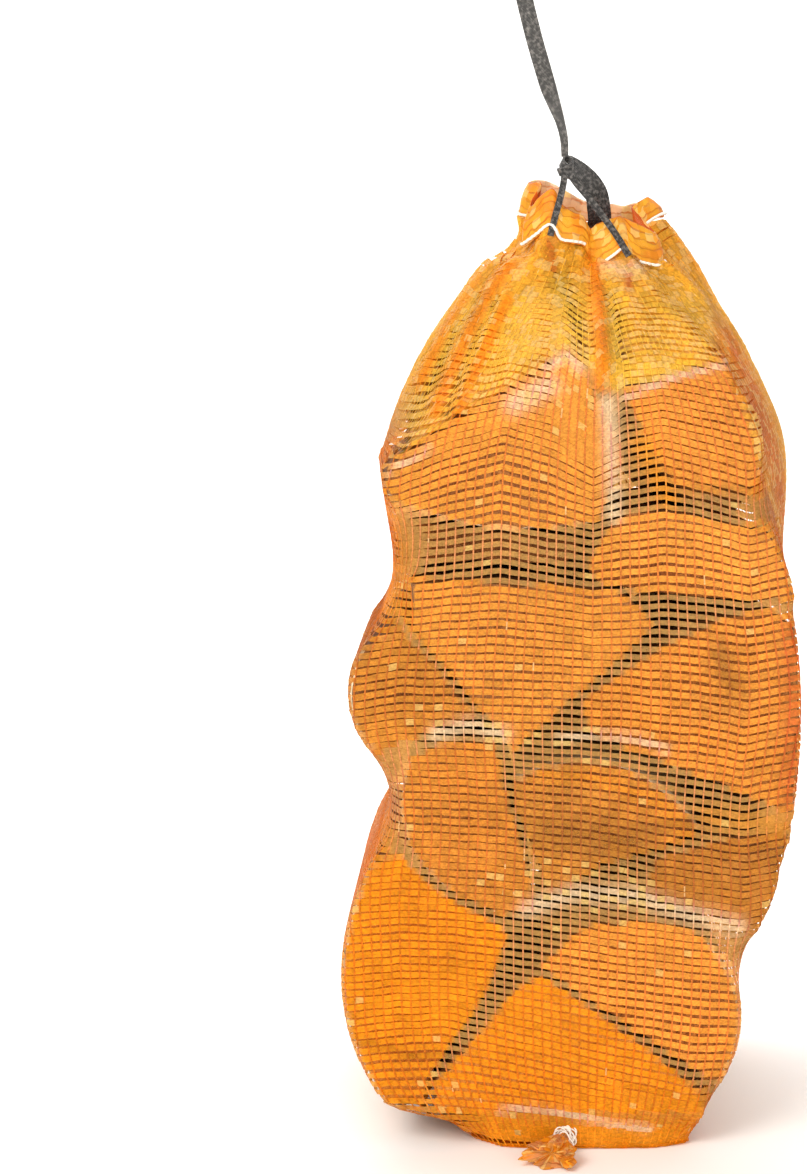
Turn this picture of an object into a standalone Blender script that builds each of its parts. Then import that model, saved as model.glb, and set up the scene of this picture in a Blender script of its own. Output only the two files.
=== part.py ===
"""Firewood bundle: thirteen split logs standing in an orange drawstring net bag.

The logs lie front to back, sawn ends forward, and the bag stands on its base. Sizes are
in millimetres, +Z is up, -Y is the front, and the base rests at z = 0.
"""
import math

import bmesh
import bpy
import numpy as np
from mathutils import Vector, noise

NAME = "firewood_bundle"
MM = 0.001
STAND = (-3.8, 16.1, 0.0)
SHARP_ANGLE = 32.0         # degrees between faces that stay sharp
TINY = 1e-9
EDGE_TOLERANCE = 1e-6

# Logs: 25 cm firewood, sawn across both ends
LOG_LENGTH = 250.0
FRONT = -0.5 * LOG_LENGTH
END_BREAK = 2.0          # worn edge round each sawn end
END_INSET = 1.2
RING_SHARES = (0.25, 0.5, 0.75)
AXE_DEPTH = 24.0         # an axed end reaches its full height this far in
SPLIT_WAVE = 1.1         # how far a split face dips along the grain
WAVE_ACROSS = 23.0       # size of the dips
WAVE_ALONG = 70.0
FLAT_STEP = 34.0         # longest run of a flat side without a point
ARC_STEP = 15.0          # the same on a bark side
ARC_POINTS = 3           # fewest points on a side that bulges
STACK_TAPER = 0.03       # the stack is this much narrower at the back
TAPER = 0.015            # and each log is this much thinner there
LOG_FLOOR = 1.9          # lowest point of a log above the ground

# Net bag: a knitted tube about 1.06 m round, gathered at the neck by a drawstring
NET_WALL = 1.0
NET_CLEAR = 1.4
NET_SPREAD = 1.1 * (NET_WALL + NET_CLEAR)  # the bag's outside stands this far off the wood
SPREAD_STEPS = 12        # directions in which that is added
NET_COLUMNS = 40
BASE_ROWS = (0.0, 8.0, 20.0)
BASE_INSET = 0.5         # share of the base at which its flat middle starts
ROW_STEP = 21.0
NECK_ROWS = (516.0, 533.0, 549.0)
CORNER_PASSES = 3
TOUCH_SHARES = (0.0, 0.25, 0.5, 0.75)
NECK_Y = -4.0            # the neck leans this far to the front
CONE_START = 366.0
# Slack bag round and above the top logs: height, left reach, right reach, half depth
CONE = (
    (366.0, -114.0, 148.0, 116.0),
    (384.0, -115.0, 150.0, 121.0),
    (410.0, -116.0, 149.0, 122.0),
    (440.0, -117.0, 152.0, 122.0),
    (452.0, -113.0, 151.0, 121.0),
    (464.0, -108.0, 144.0, 118.0),
    (477.0, -102.0, 130.0, 113.0),
    (503.0, -88.0, 114.0, 97.0),
    (530.0, -70.5, 107.0, 74.0),
    (552.0, -50.0, 91.0, 48.0),
    (565.0, -36.0, 74.0, 35.0),
    (580.0, -31.0, 70.0, 33.0),
    (600.0, -27.0, 64.0, 31.0),
)
# Slack of the net that sags to the ground in front of the bottom logs: x, y, z
SAG = (
    (-90.0, -108.0, 19.0),
    (-66.0, -118.0, 12.0),
    (-42.0, -124.0, 5.0),
    (-20.0, -127.0, 1.0),
    (20.0, -128.0, 1.0),
    (58.0, -126.0, 1.0),
    (76.0, -118.0, 3.0),
    (86.0, -104.0, 12.0),
)
FOLD_START = 508.0       # pleats grow from here
FOLD_FULL = 562.0
FOLD_DEPTH = 0.50        # share of the neck's radius that a pleat folds in
PLEAT = (0.0, 0.5, 1.0, 0.5)  # share of that depth, column by column
CONE_STEPS = 72
HEM_HEIGHT = 594.0
HEM_RISE = 8.0           # the hem stands up at the left
NECK_REACH = 50.0        # by that much, this far from the middle
HEM_DIP = 28.0           # and dips at the front, where the pleats fall open
HEM_DIP_CENTRE = 276.0   # degrees round the bag from its right side
HEM_DIP_WIDTH = 62.0     # degrees to each side of the front
STITCH_DROP = 23.0       # stitch line below the edge of the hem
THREAD_RADIUS = 0.6
THREAD_CLEAR = 0.5

# Drawstring: flat black woven tape
TAPE_WIDTH = 10.5
TAPE_THICKNESS = 1.0
LEG_WIDTH = 4.2          # the tape is bunched where it leaves the hem
STRAP_WIDTH = 15.0
KNOT = (1.0, -37.0, 613.0)
KNOT_RADIUS = 5.5
KNOT_LOBES = 3
KNOT_LOBE_DEPTH = 0.12
KNOT_LOBE_TURN = 0.6
KNOT_FLATTEN = 0.62
KNOT_SUBDIVISIONS = 2
# Routes: x, y, z and the way the flat of the tape faces
TAIL = (
    ((0.0, -37.0, 619.5), (0.3, -1.0, 0.0)),
    ((-0.5, -37.0, 630.0), (0.5, -1.0, 0.0)),
    ((-3.0, -37.0, 641.0), (0.7, -1.0, 0.0)),
    ((-6.5, -37.0, 651.0), (0.5, -1.0, 0.0)),
    ((-10.5, -37.0, 662.0), (0.3, -1.0, 0.0)),
    ((-14.5, -37.0, 675.0), (0.1, -1.0, 0.0)),
    ((-19.0, -37.0, 690.0), (0.0, -1.0, 0.0)),
    ((-23.0, -37.0, 705.0), (0.0, -1.0, 0.0)),
    ((-27.0, -37.0, 721.0), (0.0, -1.0, 0.0)),
)
END_KNOT = (-28.5, -37.0, 727.5)
LEG_LEFT = (
    ((0.5, -41.0, 606.5), (0.0, -1.0, 0.0)),
    ((-3.2, -43.0, 593.0), (0.0, -1.0, 0.0)),
    ((-6.2, -43.0, 582.0), (0.0, -1.0, 0.0)),
    ((-9.0, -41.5, 570.0), (0.0, -1.0, 0.0)),
)
LEG_RIGHT = (
    ((4.5, -42.0, 606.0), (0.0, -1.0, 0.1)),
    ((15.0, -45.0, 593.5), (0.0, -1.0, 0.0)),
    ((26.0, -46.0, 579.5), (0.0, -1.0, 0.0)),
    ((34.0, -46.5, 568.0), (0.0, -1.0, 0.0)),
    ((40.5, -45.5, 557.5), (0.0, -1.0, 0.0)),
)
STRAP = (
    ((8.4, -35.0, 611.0), (-0.1, -1.0, 0.4)),
    ((12.0, -34.5, 607.5), (0.2, -1.0, 0.3)),
    ((16.5, -33.0, 602.5), (0.3, -1.0, 0.1)),
    ((20.5, -30.5, 596.0), (0.2, -1.0, 0.0)),
    ((22.5, -25.0, 588.0), (0.0, -1.0, 0.2)),
    ((23.5, -17.0, 577.0), (0.0, -1.0, 0.3)),
    ((19.0, -10.5, 568.0), (-0.3, -1.0, 0.2)),
    ((11.0, -5.5, 562.5), (-0.8, -0.6, 0.0)),
    ((9.5, 3.0, 560.5), (-1.0, 0.2, 0.0)),
    ((16.0, 9.0, 559.5), (-0.2, 1.0, 0.0)),
    ((25.0, 8.0, 559.5), (0.6, 0.8, 0.0)),
    ((30.0, 1.0, 560.5), (1.0, -0.2, 0.0)),
)

# Gathered end of the tube, which shows at the foot of the bag
TUFT_ROOT = (4.0, -119.5, 8.0)
TUFT_TIP = (-14.0, -167.0, 8.5)
TUFT_RADII = (5.0, 4.6, 4.6, 10.0, 15.0, 16.0)
TUFT_CLOSED = 5.0        # radius up to which it is tied tight
TUFT_OPEN = 14.0         # radius from which it lies open
TUFT_FLATTEN = 0.5
TUFT_LOBES = 7
TUFT_LOBE_DEPTH = 0.16
TUFT_SIDES = 21
TUFT_FLOOR = 0.25        # lowest point above the ground
WRAP_SHARE = 0.38        # the white thread is wound round it here
WRAP_RADIUS = 6.4
WRAP_THREAD = 0.8
WRAP_SEGMENTS = 20
WRAP_SIDES = 6

# Split sections seen from the front: x, z and how far the side that follows bulges out.
# A bulge over BARK_BULGE is a bark side. "cut" is the height below which the sawn
# end is axed away, "set" moves the log back, "splay" moves its back end sideways.
BARK_BULGE = 7.0
LOGS = {
    "log_top_left": dict(
        corners=((-3, 500, 0), (-115, 430, 0), (-113, 414, 13), (18, 398, 0), (34, 437, 3)),
        set=1.0, splay=-8.0),
    "log_top_right": dict(
        corners=((30, 477, 2), (96, 495, 0), (101, 478, 8), (116, 425, 0), (105, 398, 0),
                 (80, 404, 0), (54, 432, 0), (45, 452, 0)),
        set=6.0, splay=-16.0, cut=420.0),
    "log_right_upper": dict(
        corners=((10, 368, 0), (20, 391, 0), (36, 404, 0), (62, 405, 0), (122, 391, 2),
                 (138, 349, 4), (17, 360, 0)),
        set=1.0, splay=4.0),
    "log_thin_slab": dict(
        corners=((-107, 396, 0), (8, 384, 0), (9, 374, 0), (-2, 368, 0), (-60, 369.5, 0),
                 (-105, 367, 0)),
        set=24.0, splay=0.0, length=222.0),
    "log_centre": dict(
        corners=((-98, 360, 3), (32, 355, 0), (54, 334, 0), (-33, 256, 2), (-96, 334, 0)),
        set=-3.0, splay=0.0),
    "log_left_middle": dict(
        corners=((-127, 318, 0), (-106, 333, 0), (-100, 332, 0), (-55, 276, 0), (-60, 273, 0),
                 (-74, 270, 0), (-120, 253, 12)),
        set=5.0, splay=3.0),
    "log_right_middle": dict(
        corners=((8, 288, 0), (50, 316, 0), (92, 338, 0), (124, 344, 0), (139, 331, 4),
                 (140, 215, 0), (11, 267, 0)),
        set=0.0, splay=-9.0),
    "log_left_lower": dict(
        corners=((-98, 250, 0), (-80, 261, 0), (-46, 263, 0), (-39, 232, 0), (-23, 176, 0),
                 (-21, 153, 0), (-42, 151, 0), (-70, 164, 18)),
        set=-2.0, splay=6.0),
    "log_centre_lower": dict(
        corners=((-34, 238, 25), (82, 207, 0), (80, 200, 0), (20, 181, 0), (-1, 165, 0),
                 (-13, 166, 0), (-34, 222, 0)),
        set=5.0, splay=8.0),
    "log_right_lower": dict(
        corners=((54, 185, 0), (87, 197, 2), (139, 202, 0), (132, 181, 2), (124, 151, 0),
                 (118, 139, 0), (58, 158, 0), (47, 164, 0)),
        set=3.0, splay=3.0),
    "log_bottom_left": dict(
        corners=((-120, 184, 0), (-103, 189, 0), (-84, 169, 0), (-40, 144, 0), (-36, 137, 0),
                 (-47, 105, 0), (-57, 87, 0), (-87, 43, 0), (-91, 22, 0), (-106, 18, 27)),
        set=2.0, splay=5.0, cut=30.0),
    "log_bottom_centre": dict(
        corners=((-17, 114, 0), (-31, 105, 0), (-84, 42, 0), (-83, 24, 0), (-48, LOG_FLOOR, 0),
                 (70, LOG_FLOOR, 0), (84, 14, 0), (89, 35, 2)),
        set=-3.0, splay=4.0, cut=24.0),
    "log_bottom_right": dict(
        corners=((-17, 118, 0), (9, 144, 0), (46, 148, 4), (89, 133, 17), (96, 41, 0),
                 (57, 66, 0), (2, 104, 0)),
        set=0.0, splay=6.0),
}

# Colours of the plain finishes: linear red, green, blue
WOOD = (0.62, 0.36, 0.14)
WOOD_SPREAD = 0.12       # how much lighter or darker a log may be
WOOD_SPREAD_STEP = 2.4
WOOD_ROUGHNESS = 0.8
ORANGE = (0.90, 0.36, 0.04)
NET_ROUGHNESS = 0.45
BLACK = (0.05, 0.05, 0.05)
TAPE_ROUGHNESS = 0.7
WHITE = (0.85, 0.82, 0.76)
THREAD_ROUGHNESS = 0.8


def start_scene():
    """Empty the scene and make the collections for the parts and for the guides."""
    for item in list(bpy.data.objects):
        bpy.data.objects.remove(item, do_unlink=True)
    parts = bpy.data.collections.new(NAME)
    guides = bpy.data.collections.new(NAME + "_guides")
    for collection in (parts, guides):
        bpy.context.scene.collection.children.link(collection)
    return parts, guides


def material(name, colour, roughness):
    """A plain Principled finish."""
    finish = bpy.data.materials.new(name)
    finish.use_nodes = True
    shader = finish.node_tree.nodes["Principled BSDF"]
    shader.inputs["Base Color"].default_value = (*colour, 1.0)
    shader.inputs["Roughness"].default_value = roughness
    shader.inputs["Metallic"].default_value = 0.0
    finish.diffuse_color = (*colour, 1.0)
    return finish


def add_mesh(name, verts, faces, finish, collection):
    """One object from points in millimetres, with its faces turned outwards."""
    mesh = bpy.data.meshes.new(name)
    mesh.from_pydata([tuple(MM * c for c in v) for v in verts], [], faces)
    shape = bmesh.new()
    shape.from_mesh(mesh)
    bmesh.ops.recalc_face_normals(shape, faces=shape.faces)
    shape.to_mesh(mesh)
    shape.free()
    mesh.materials.append(finish)
    mesh.shade_smooth()
    mesh.set_sharp_from_angle(angle=math.radians(SHARP_ANGLE))
    part = bpy.data.objects.new(name, mesh)
    collection.objects.link(part)
    return part


def loft(rings, close_start=True, close_end=True):
    """Faces between rings of equally many points, with flat ends where asked."""
    count = len(rings[0])
    verts = [point for ring in rings for point in ring]
    faces = []
    for row in range(len(rings) - 1):
        for k in range(count):
            a = row * count + k
            b = row * count + (k + 1) % count
            faces.append((a, b, b + count, a + count))
    if close_start:
        faces.append(tuple(range(count)))
    if close_end:
        last = (len(rings) - 1) * count
        faces.append(tuple(last + k for k in range(count)))
    return verts, faces


def side_points(start, end, bulge):
    """Points from start up to end, leaving end out: straight, or an arc that bulges out."""
    a = np.array(start, float)
    b = np.array(end, float)
    chord = b - a
    length = float(np.hypot(*chord))
    step = ARC_STEP if bulge > BARK_BULGE else FLAT_STEP
    count = max(1, math.ceil(length / step))
    if bulge > 0:
        count = max(count, ARC_POINTS)
    outward = np.array([chord[1], -chord[0]]) / length
    points = []
    for i in range(count):
        t = i / count
        points.append(a + chord * t + outward * bulge * 4.0 * t * (1.0 - t))
    return points


def section(corners):
    """Closed outline of a split log, counter-clockwise seen from the front."""
    area = sum(p[0] * q[1] - q[0] * p[1] for p, q in zip(corners, corners[1:] + corners[:1]))
    ordered = list(corners)
    if area < 0:
        flipped = [(x, z) for x, z, _ in reversed(corners)]
        bulges = [bulge for _, _, bulge in reversed(corners)]
        ordered = [(*p, bulges[(i + 1) % len(bulges)]) for i, p in enumerate(flipped)]
    points = []
    for p, q in zip(ordered, ordered[1:] + ordered[:1]):
        points += side_points(p[:2], q[:2], p[2])
    return np.array(points)


def log_places(spec):
    """How far along the log each cross-section is, and how much its edge is worn back."""
    length = spec.get("length", LOG_LENGTH)
    places = [(0.0, END_INSET), (END_BREAK, 0.0)]
    if "cut" in spec:
        places.append((AXE_DEPTH, 0.0))
    places += [(share * length, 0.0) for share in RING_SHARES]
    places += [(length - END_BREAK, 0.0), (length, END_INSET)]
    return places


def log_rings(name, spec):
    """Cross-sections of one log from its front end to its back end."""
    outline = section(list(spec["corners"]))
    middle = outline.mean(axis=0)
    lowest = float(outline[:, 1].min())
    seed = sum(ord(letter) for letter in name)
    rings = []
    for along, inset in log_places(spec):
        share = along / LOG_LENGTH
        narrow = 1.0 - STACK_TAPER * share
        axed = 0.0
        if "cut" in spec:
            axed = max(0.0, 1.0 - along / AXE_DEPTH) * (spec["cut"] - lowest)
        ring = []
        for x, z in outline:
            spot = Vector((x / WAVE_ACROSS, along / WAVE_ALONG, z / WAVE_ACROSS + seed))
            dip = 0.5 + 0.5 * noise.noise(spot)
            offset = np.array([x, z]) - middle
            reach = float(np.hypot(*offset))
            shrink = inset + SPLIT_WAVE * dip + TAPER * share * reach
            px, pz = middle + offset * (1.0 - shrink / reach)
            pz = max(pz, lowest + axed)
            px = px * narrow + spec["splay"] * share
            pz = LOG_FLOOR + (pz - LOG_FLOOR) * narrow
            ring.append((px, FRONT + spec["set"] + along, pz))
        rings.append(ring)
    return rings


def build_logs(parts):
    """All the logs, and the points along their sections that the net has to clear."""
    touch = []
    for i, (name, spec) in enumerate(LOGS.items()):
        rings = log_rings(name, spec)
        verts, faces = loft(rings)
        tone = 1.0 + WOOD_SPREAD * math.sin(WOOD_SPREAD_STEP * i)
        wood = material("split_wood_" + name, [tone * c for c in WOOD], WOOD_ROUGHNESS)
        add_mesh(name, verts, faces, wood, parts)
        for ring, next_ring in zip(rings, rings[1:] + rings[-1:]):
            for t in TOUCH_SHARES:
                corners = np.array(ring) * (1.0 - t) + np.array(next_ring) * t
                following = np.roll(corners, -1, axis=0)
                touch += [corners * (1.0 - s) + following * s for s in TOUCH_SHARES]
    return np.concatenate(touch)


def hull(points):
    """Convex outline of points in plan, counter-clockwise."""
    ordered = sorted({(round(float(x), 4), round(float(y), 4)) for x, y in points})

    def half(sequence):
        chain = []
        for p in sequence:
            while len(chain) > 1 and turn(chain[-2], chain[-1], p) <= 0:
                chain.pop()
            chain.append(p)
        return chain[:-1]

    return np.array(half(ordered) + half(reversed(ordered)))


def turn(a, b, c):
    """Positive where a, b, c turn left."""
    return (b[0] - a[0]) * (c[1] - a[1]) - (b[1] - a[1]) * (c[0] - a[0])


def cross(a, b):
    """The flat cross product."""
    return a[0] * b[1] - a[1] * b[0]


def reach_of(outline, centre, direction):
    """Distance from centre to a convex outline along a direction."""
    for p, q in zip(outline, np.roll(outline, -1, axis=0)):
        side = q - p
        across = cross(direction, side)
        if abs(across) < TINY:
            continue
        along = cross(p - centre, side) / across
        share = cross(p - centre, direction) / across
        if along > 0 and -EDGE_TOLERANCE <= share <= 1 + EDGE_TOLERANCE:
            return float(along)
    raise ValueError("the centre lies outside the outline")


def cone_at(height):
    """Left reach, right reach and half depth of the slack bag at a height."""
    table = np.array(CONE)
    return [float(np.interp(height, table[:, 0], table[:, i])) for i in (1, 2, 3)]


def smooth(low, high, value):
    """0 below low, 1 above high and an even curve between."""
    t = min(max((value - low) / (high - low), 0.0), 1.0)
    return t * t * (3.0 - 2.0 * t)


def plan_outline(height, below, above, touch):
    """Outline in plan that holds every log point between two heights, and the slack bag."""
    near = touch[(touch[:, 2] >= below) & (touch[:, 2] <= above)][:, :2]
    points = [near + NET_SPREAD * np.array([math.cos(a), math.sin(a)])
              for a in np.linspace(0.0, 2.0 * math.pi, SPREAD_STEPS, endpoint=False)]
    if height >= CONE_START:
        left, right, depth = cone_at(height)
        a = np.linspace(0.0, 2.0 * math.pi, CONE_STEPS, endpoint=False)
        x = 0.5 * (left + right) + 0.5 * (right - left) * np.cos(a)
        points.append(np.stack([x, NECK_Y * smooth(CONE_START, FOLD_FULL, height)
                                + depth * np.sin(a)], axis=1))
    return hull(np.concatenate(points))


def ring_in_plan(outline):
    """The bag's columns on an outline, none of its corners cut off."""
    low = outline.min(axis=0)
    high = outline.max(axis=0)
    centre = 0.5 * (low + high)
    half_size = 0.5 * (high - low)
    angles = 2.0 * math.pi * np.arange(NET_COLUMNS) / NET_COLUMNS
    rays = np.stack([half_size[0] * np.cos(angles), half_size[1] * np.sin(angles)], axis=1)
    rays /= np.hypot(rays[:, 0], rays[:, 1])[:, None]
    radii = np.array([reach_of(outline, centre, ray) for ray in rays])
    for _ in range(CORNER_PASSES):
        for k in range(NET_COLUMNS):
            after = (k + 1) % NET_COLUMNS
            a = centre + rays[k] * radii[k]
            b = centre + rays[after] * radii[after]
            short = 1.0
            for corner in outline:
                offset = corner - centre
                if cross(rays[k], offset) >= 0 and cross(offset, rays[after]) >= 0:
                    reach = float(np.hypot(*offset))
                    chord = cross(a - centre, b - a) / cross(offset / reach, b - a)
                    short = max(short, reach / chord)
            radii[k] *= short
            radii[after] *= short
    return centre, rays * radii[:, None]


def hem_drop(column):
    """How far the hem droops at a column: most at the front."""
    degrees = 360.0 * column / NET_COLUMNS
    away = abs((degrees - HEM_DIP_CENTRE + 180.0) % 360.0 - 180.0)
    dip = 0.5 + 0.5 * math.cos(math.pi * min(away / HEM_DIP_WIDTH, 1.0))
    return HEM_DIP * dip


def net_rows(touch):
    """Rings of the bag's outer surface, from the middle of the base up to the hem."""
    heights = list(BASE_ROWS)
    while heights[-1] + ROW_STEP < FOLD_START:
        heights.append(heights[-1] + ROW_STEP)
    heights += [*NECK_ROWS, FOLD_FULL, HEM_HEIGHT - STITCH_DROP, HEM_HEIGHT]
    rows = []
    for j, height in enumerate(heights):
        below = heights[j - 1] if j else 0.0
        above = heights[j + 1] if j + 1 < len(heights) else height
        centre, offsets = ring_in_plan(plan_outline(height, below, above, touch))
        folded = FOLD_DEPTH * smooth(FOLD_START, FOLD_FULL, height)
        droop = smooth(FOLD_START, FOLD_FULL, height)
        ring = []
        for k, offset in enumerate(offsets):
            x, y = centre + offset * (1.0 - folded * PLEAT[k % len(PLEAT)])
            rise = HEM_RISE * smooth(FOLD_FULL, HEM_HEIGHT, height) * -offset[0] / NECK_REACH
            ring.append((x, y, height + rise - droop * hem_drop(k)))
        rows.append(ring)
    base = np.array(rows[0])
    middle = base.mean(axis=0)
    rows.insert(0, [tuple(middle + (p - middle) * BASE_INSET) for p in base])
    return rows


def build_tuft(guides, net):
    """The gathered, tied end of the tube: a flat lobed fan that lies on the ground."""
    root = np.array(TUFT_ROOT)
    tip = np.array(TUFT_TIP)
    forward = (tip - root) / np.linalg.norm(tip - root)
    sideways = np.cross(forward, (0.0, 0.0, 1.0))
    sideways /= np.linalg.norm(sideways)
    rings = []
    for i, radius in enumerate(TUFT_RADII):
        centre = root + (tip - root) * i / (len(TUFT_RADII) - 1)
        open_share = smooth(TUFT_CLOSED, TUFT_OPEN, radius)
        flat = 1.0 - (1.0 - TUFT_FLATTEN) * open_share
        ring = []
        for k in range(TUFT_SIDES):
            angle = 2.0 * math.pi * k / TUFT_SIDES
            lobe = TUFT_LOBE_DEPTH * open_share * math.cos(TUFT_LOBES * angle)
            lobed = radius * (1.0 + lobe)
            height = centre[2] + lobed * flat * math.sin(angle)
            x, y, _ = centre + sideways * lobed * math.cos(angle)
            ring.append((x, y, max(height, TUFT_FLOOR)))
        rings.append(ring)
    verts, faces = loft(rings)
    tuft = add_mesh("bottom_tuft_guide", verts, faces, net, guides)
    tuft.hide_render = True
    tuft.display_type = "WIRE"
    return tuft


def crest_first(verts, faces):
    """The four-sided faces cut in two along the diagonal that stands further out."""
    points = np.array(verts, float)
    middle = 0.5 * (points.min(axis=0) + points.max(axis=0))
    cut = []
    for face in faces:
        if len(face) != 4:
            cut.append(face)
            continue
        a, b, c, d = face
        first = 0.5 * (points[a] + points[c]) - middle
        second = 0.5 * (points[b] + points[d]) - middle
        if np.hypot(first[0], first[1]) > np.hypot(second[0], second[1]):
            cut += [(a, b, c), (a, c, d)]
        else:
            cut += [(a, b, d), (b, c, d)]
    return cut


def build_net(parts, guides, touch, net):
    """The bag: an open pleated surface with a thickness, joined to its tied end."""
    rows = net_rows(touch)
    verts, faces = loft(rows, close_start=True, close_end=False)
    bag = add_mesh("net_bag", verts, crest_first(verts, faces), net, parts)
    wall = bag.modifiers.new("Wall", "SOLIDIFY")
    wall.thickness = NET_WALL * MM
    wall.offset = -1.0
    join = bag.modifiers.new("TiedEnd", "BOOLEAN")
    join.operation = "UNION"
    join.object = build_tuft(guides, net)
    return rows


def tube(name, points, radius, finish, collection, closed=False):
    """A thin round cord through points in millimetres."""
    curve = bpy.data.curves.new(name, "CURVE")
    curve.dimensions = "3D"
    curve.bevel_depth = radius * MM
    curve.bevel_resolution = 1
    curve.use_fill_caps = not closed
    spline = curve.splines.new("POLY")
    spline.points.add(len(points) - 1)
    for spot, (x, y, z) in zip(spline.points, points):
        spot.co = (x * MM, y * MM, z * MM, 1.0)
    spline.use_cyclic_u = closed
    curve.materials.append(finish)
    cord = bpy.data.objects.new(name, curve)
    collection.objects.link(cord)
    return cord


def build_threads(parts, rows, white):
    """The white seam round the hem and the thread wound round the tied end."""
    seam = np.array(rows[-2])
    side = np.roll(seam, -1, axis=0) - seam
    facing = np.stack([side[:, 1], -side[:, 0], np.zeros(len(seam))], axis=1)
    facing /= np.linalg.norm(facing, axis=1)[:, None]
    outward = facing + np.roll(facing, 1, axis=0)
    outward /= np.linalg.norm(outward, axis=1)[:, None]
    turned = np.sum(outward * facing, axis=1)[:, None]
    seam = seam + outward * (THREAD_RADIUS + THREAD_CLEAR) / turned
    tube("hem_stitching", seam, THREAD_RADIUS, white, parts, closed=True)
    root = np.array(TUFT_ROOT)
    tip = np.array(TUFT_TIP)
    centre = Vector(root + (tip - root) * WRAP_SHARE)
    axis = Vector(tip - root).normalized()
    bpy.ops.mesh.primitive_torus_add(
        location=centre * MM, rotation=axis.to_track_quat("Z", "Y").to_euler(),
        major_segments=WRAP_SEGMENTS, minor_segments=WRAP_SIDES,
        major_radius=WRAP_RADIUS * MM, minor_radius=WRAP_THREAD * MM)
    wrap = bpy.context.object
    wrap.name = "bottom_thread"
    wrap.data.materials.append(white)
    for owner in list(wrap.users_collection):
        owner.objects.unlink(wrap)
    parts.objects.link(wrap)


def flat_tape(name, route, width, finish, collection):
    """Woven tape along a route, its flat turned the way that each point faces."""
    spots = np.array([spot for spot, _ in route])
    rings = []
    for i, (_, facing) in enumerate(route):
        along = spots[min(i + 1, len(spots) - 1)] - spots[max(i - 1, 0)]
        along /= np.linalg.norm(along)
        across = np.cross(along, facing)
        across *= 0.5 * width / np.linalg.norm(across)
        normal = np.cross(across, along)
        normal *= 0.5 * TAPE_THICKNESS / np.linalg.norm(normal)
        rings.append([spots[i] + across + normal, spots[i] - across + normal,
                      spots[i] - across - normal, spots[i] + across - normal])
    verts, faces = loft(rings)
    return add_mesh(name, verts, faces, finish, collection)


def knot(name, centre, radius, finish, collection):
    """A pulled-tight overhand knot: a lobed ball."""
    bpy.ops.mesh.primitive_ico_sphere_add(subdivisions=KNOT_SUBDIVISIONS, radius=radius * MM,
                                          location=Vector(centre) * MM)
    lump = bpy.context.object
    lump.name = name
    for vert in lump.data.vertices:
        angle = math.atan2(vert.co.z, vert.co.x)
        vert.co *= 1.0 + KNOT_LOBE_DEPTH * math.cos(KNOT_LOBES * angle + KNOT_LOBE_TURN)
        vert.co.y *= KNOT_FLATTEN
    lump.data.materials.append(finish)
    for owner in list(lump.users_collection):
        owner.objects.unlink(lump)
    collection.objects.link(lump)
    return lump


def build_drawstring(parts, black):
    """The drawstring: its knot, the two legs into the hem, the strap and the tail."""
    knot("drawstring_knot", KNOT, KNOT_RADIUS, black, parts)
    flat_tape("drawstring_leg_left", LEG_LEFT, LEG_WIDTH, black, parts)
    flat_tape("drawstring_leg_right", LEG_RIGHT, LEG_WIDTH, black, parts)
    flat_tape("drawstring_strap", STRAP, STRAP_WIDTH, black, parts)
    flat_tape("drawstring_tail", TAIL, TAPE_WIDTH, black, parts)
    knot("drawstring_end_knot", END_KNOT, KNOT_RADIUS, black, parts)


def stand_on_origin(collections):
    """Hang every piece on one empty that brings the middle of the bag over the origin."""
    stand = bpy.data.objects.new("stand", None)
    stand.location = Vector(STAND) * MM
    collections[0].objects.link(stand)
    for collection in collections:
        for piece in list(collection.objects):
            if piece is not stand:
                piece.parent = stand


def main():
    parts, guides = start_scene()
    net = material("orange_net", ORANGE, NET_ROUGHNESS)
    black = material("black_woven_tape", BLACK, TAPE_ROUGHNESS)
    white = material("white_thread", WHITE, THREAD_ROUGHNESS)
    touch = np.concatenate([build_logs(parts), SAG])
    rows = build_net(parts, guides, touch, net)
    build_threads(parts, rows, white)
    build_drawstring(parts, black)
    stand_on_origin((parts, guides))


if __name__ == "__main__":
    main()
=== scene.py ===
import math

import bpy
import numpy as np
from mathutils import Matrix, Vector
from mathutils.bvhtree import BVHTree


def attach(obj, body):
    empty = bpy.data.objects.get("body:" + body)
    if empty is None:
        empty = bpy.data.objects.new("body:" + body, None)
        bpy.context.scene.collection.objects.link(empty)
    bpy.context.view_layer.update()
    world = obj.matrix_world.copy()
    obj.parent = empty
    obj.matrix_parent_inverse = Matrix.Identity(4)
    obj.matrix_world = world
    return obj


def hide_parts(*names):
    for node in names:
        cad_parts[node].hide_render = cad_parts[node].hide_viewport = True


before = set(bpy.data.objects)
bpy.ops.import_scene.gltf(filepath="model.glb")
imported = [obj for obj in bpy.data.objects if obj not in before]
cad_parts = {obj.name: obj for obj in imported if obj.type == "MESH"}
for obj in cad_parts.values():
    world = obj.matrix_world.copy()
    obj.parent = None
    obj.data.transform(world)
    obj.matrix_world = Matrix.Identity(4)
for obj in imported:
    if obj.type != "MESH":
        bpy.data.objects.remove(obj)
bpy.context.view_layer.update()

# Firewood bundle: thirteen split logs in an orange net bag, closed by a black drawstring.
# Shapes are worked out in millimetres, -Y to the front, as the solids were, and then moved
# by STAND, so that the bag stands over the origin.

scene = bpy.context.scene
MM = 0.001
STAND = np.array([-3.8, 16.1, 0.0])
UP = np.array([0.0, 0.0, 1.0])

# Camera: the photograph's place and angle, eight degrees above level
CAMERA_AIM = (-102.0, -127.0, 357.5)
CAMERA_DISTANCE = 1700.0
CAMERA_RISE = math.radians(8.0)
CAMERA_LENS = 85.0

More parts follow.
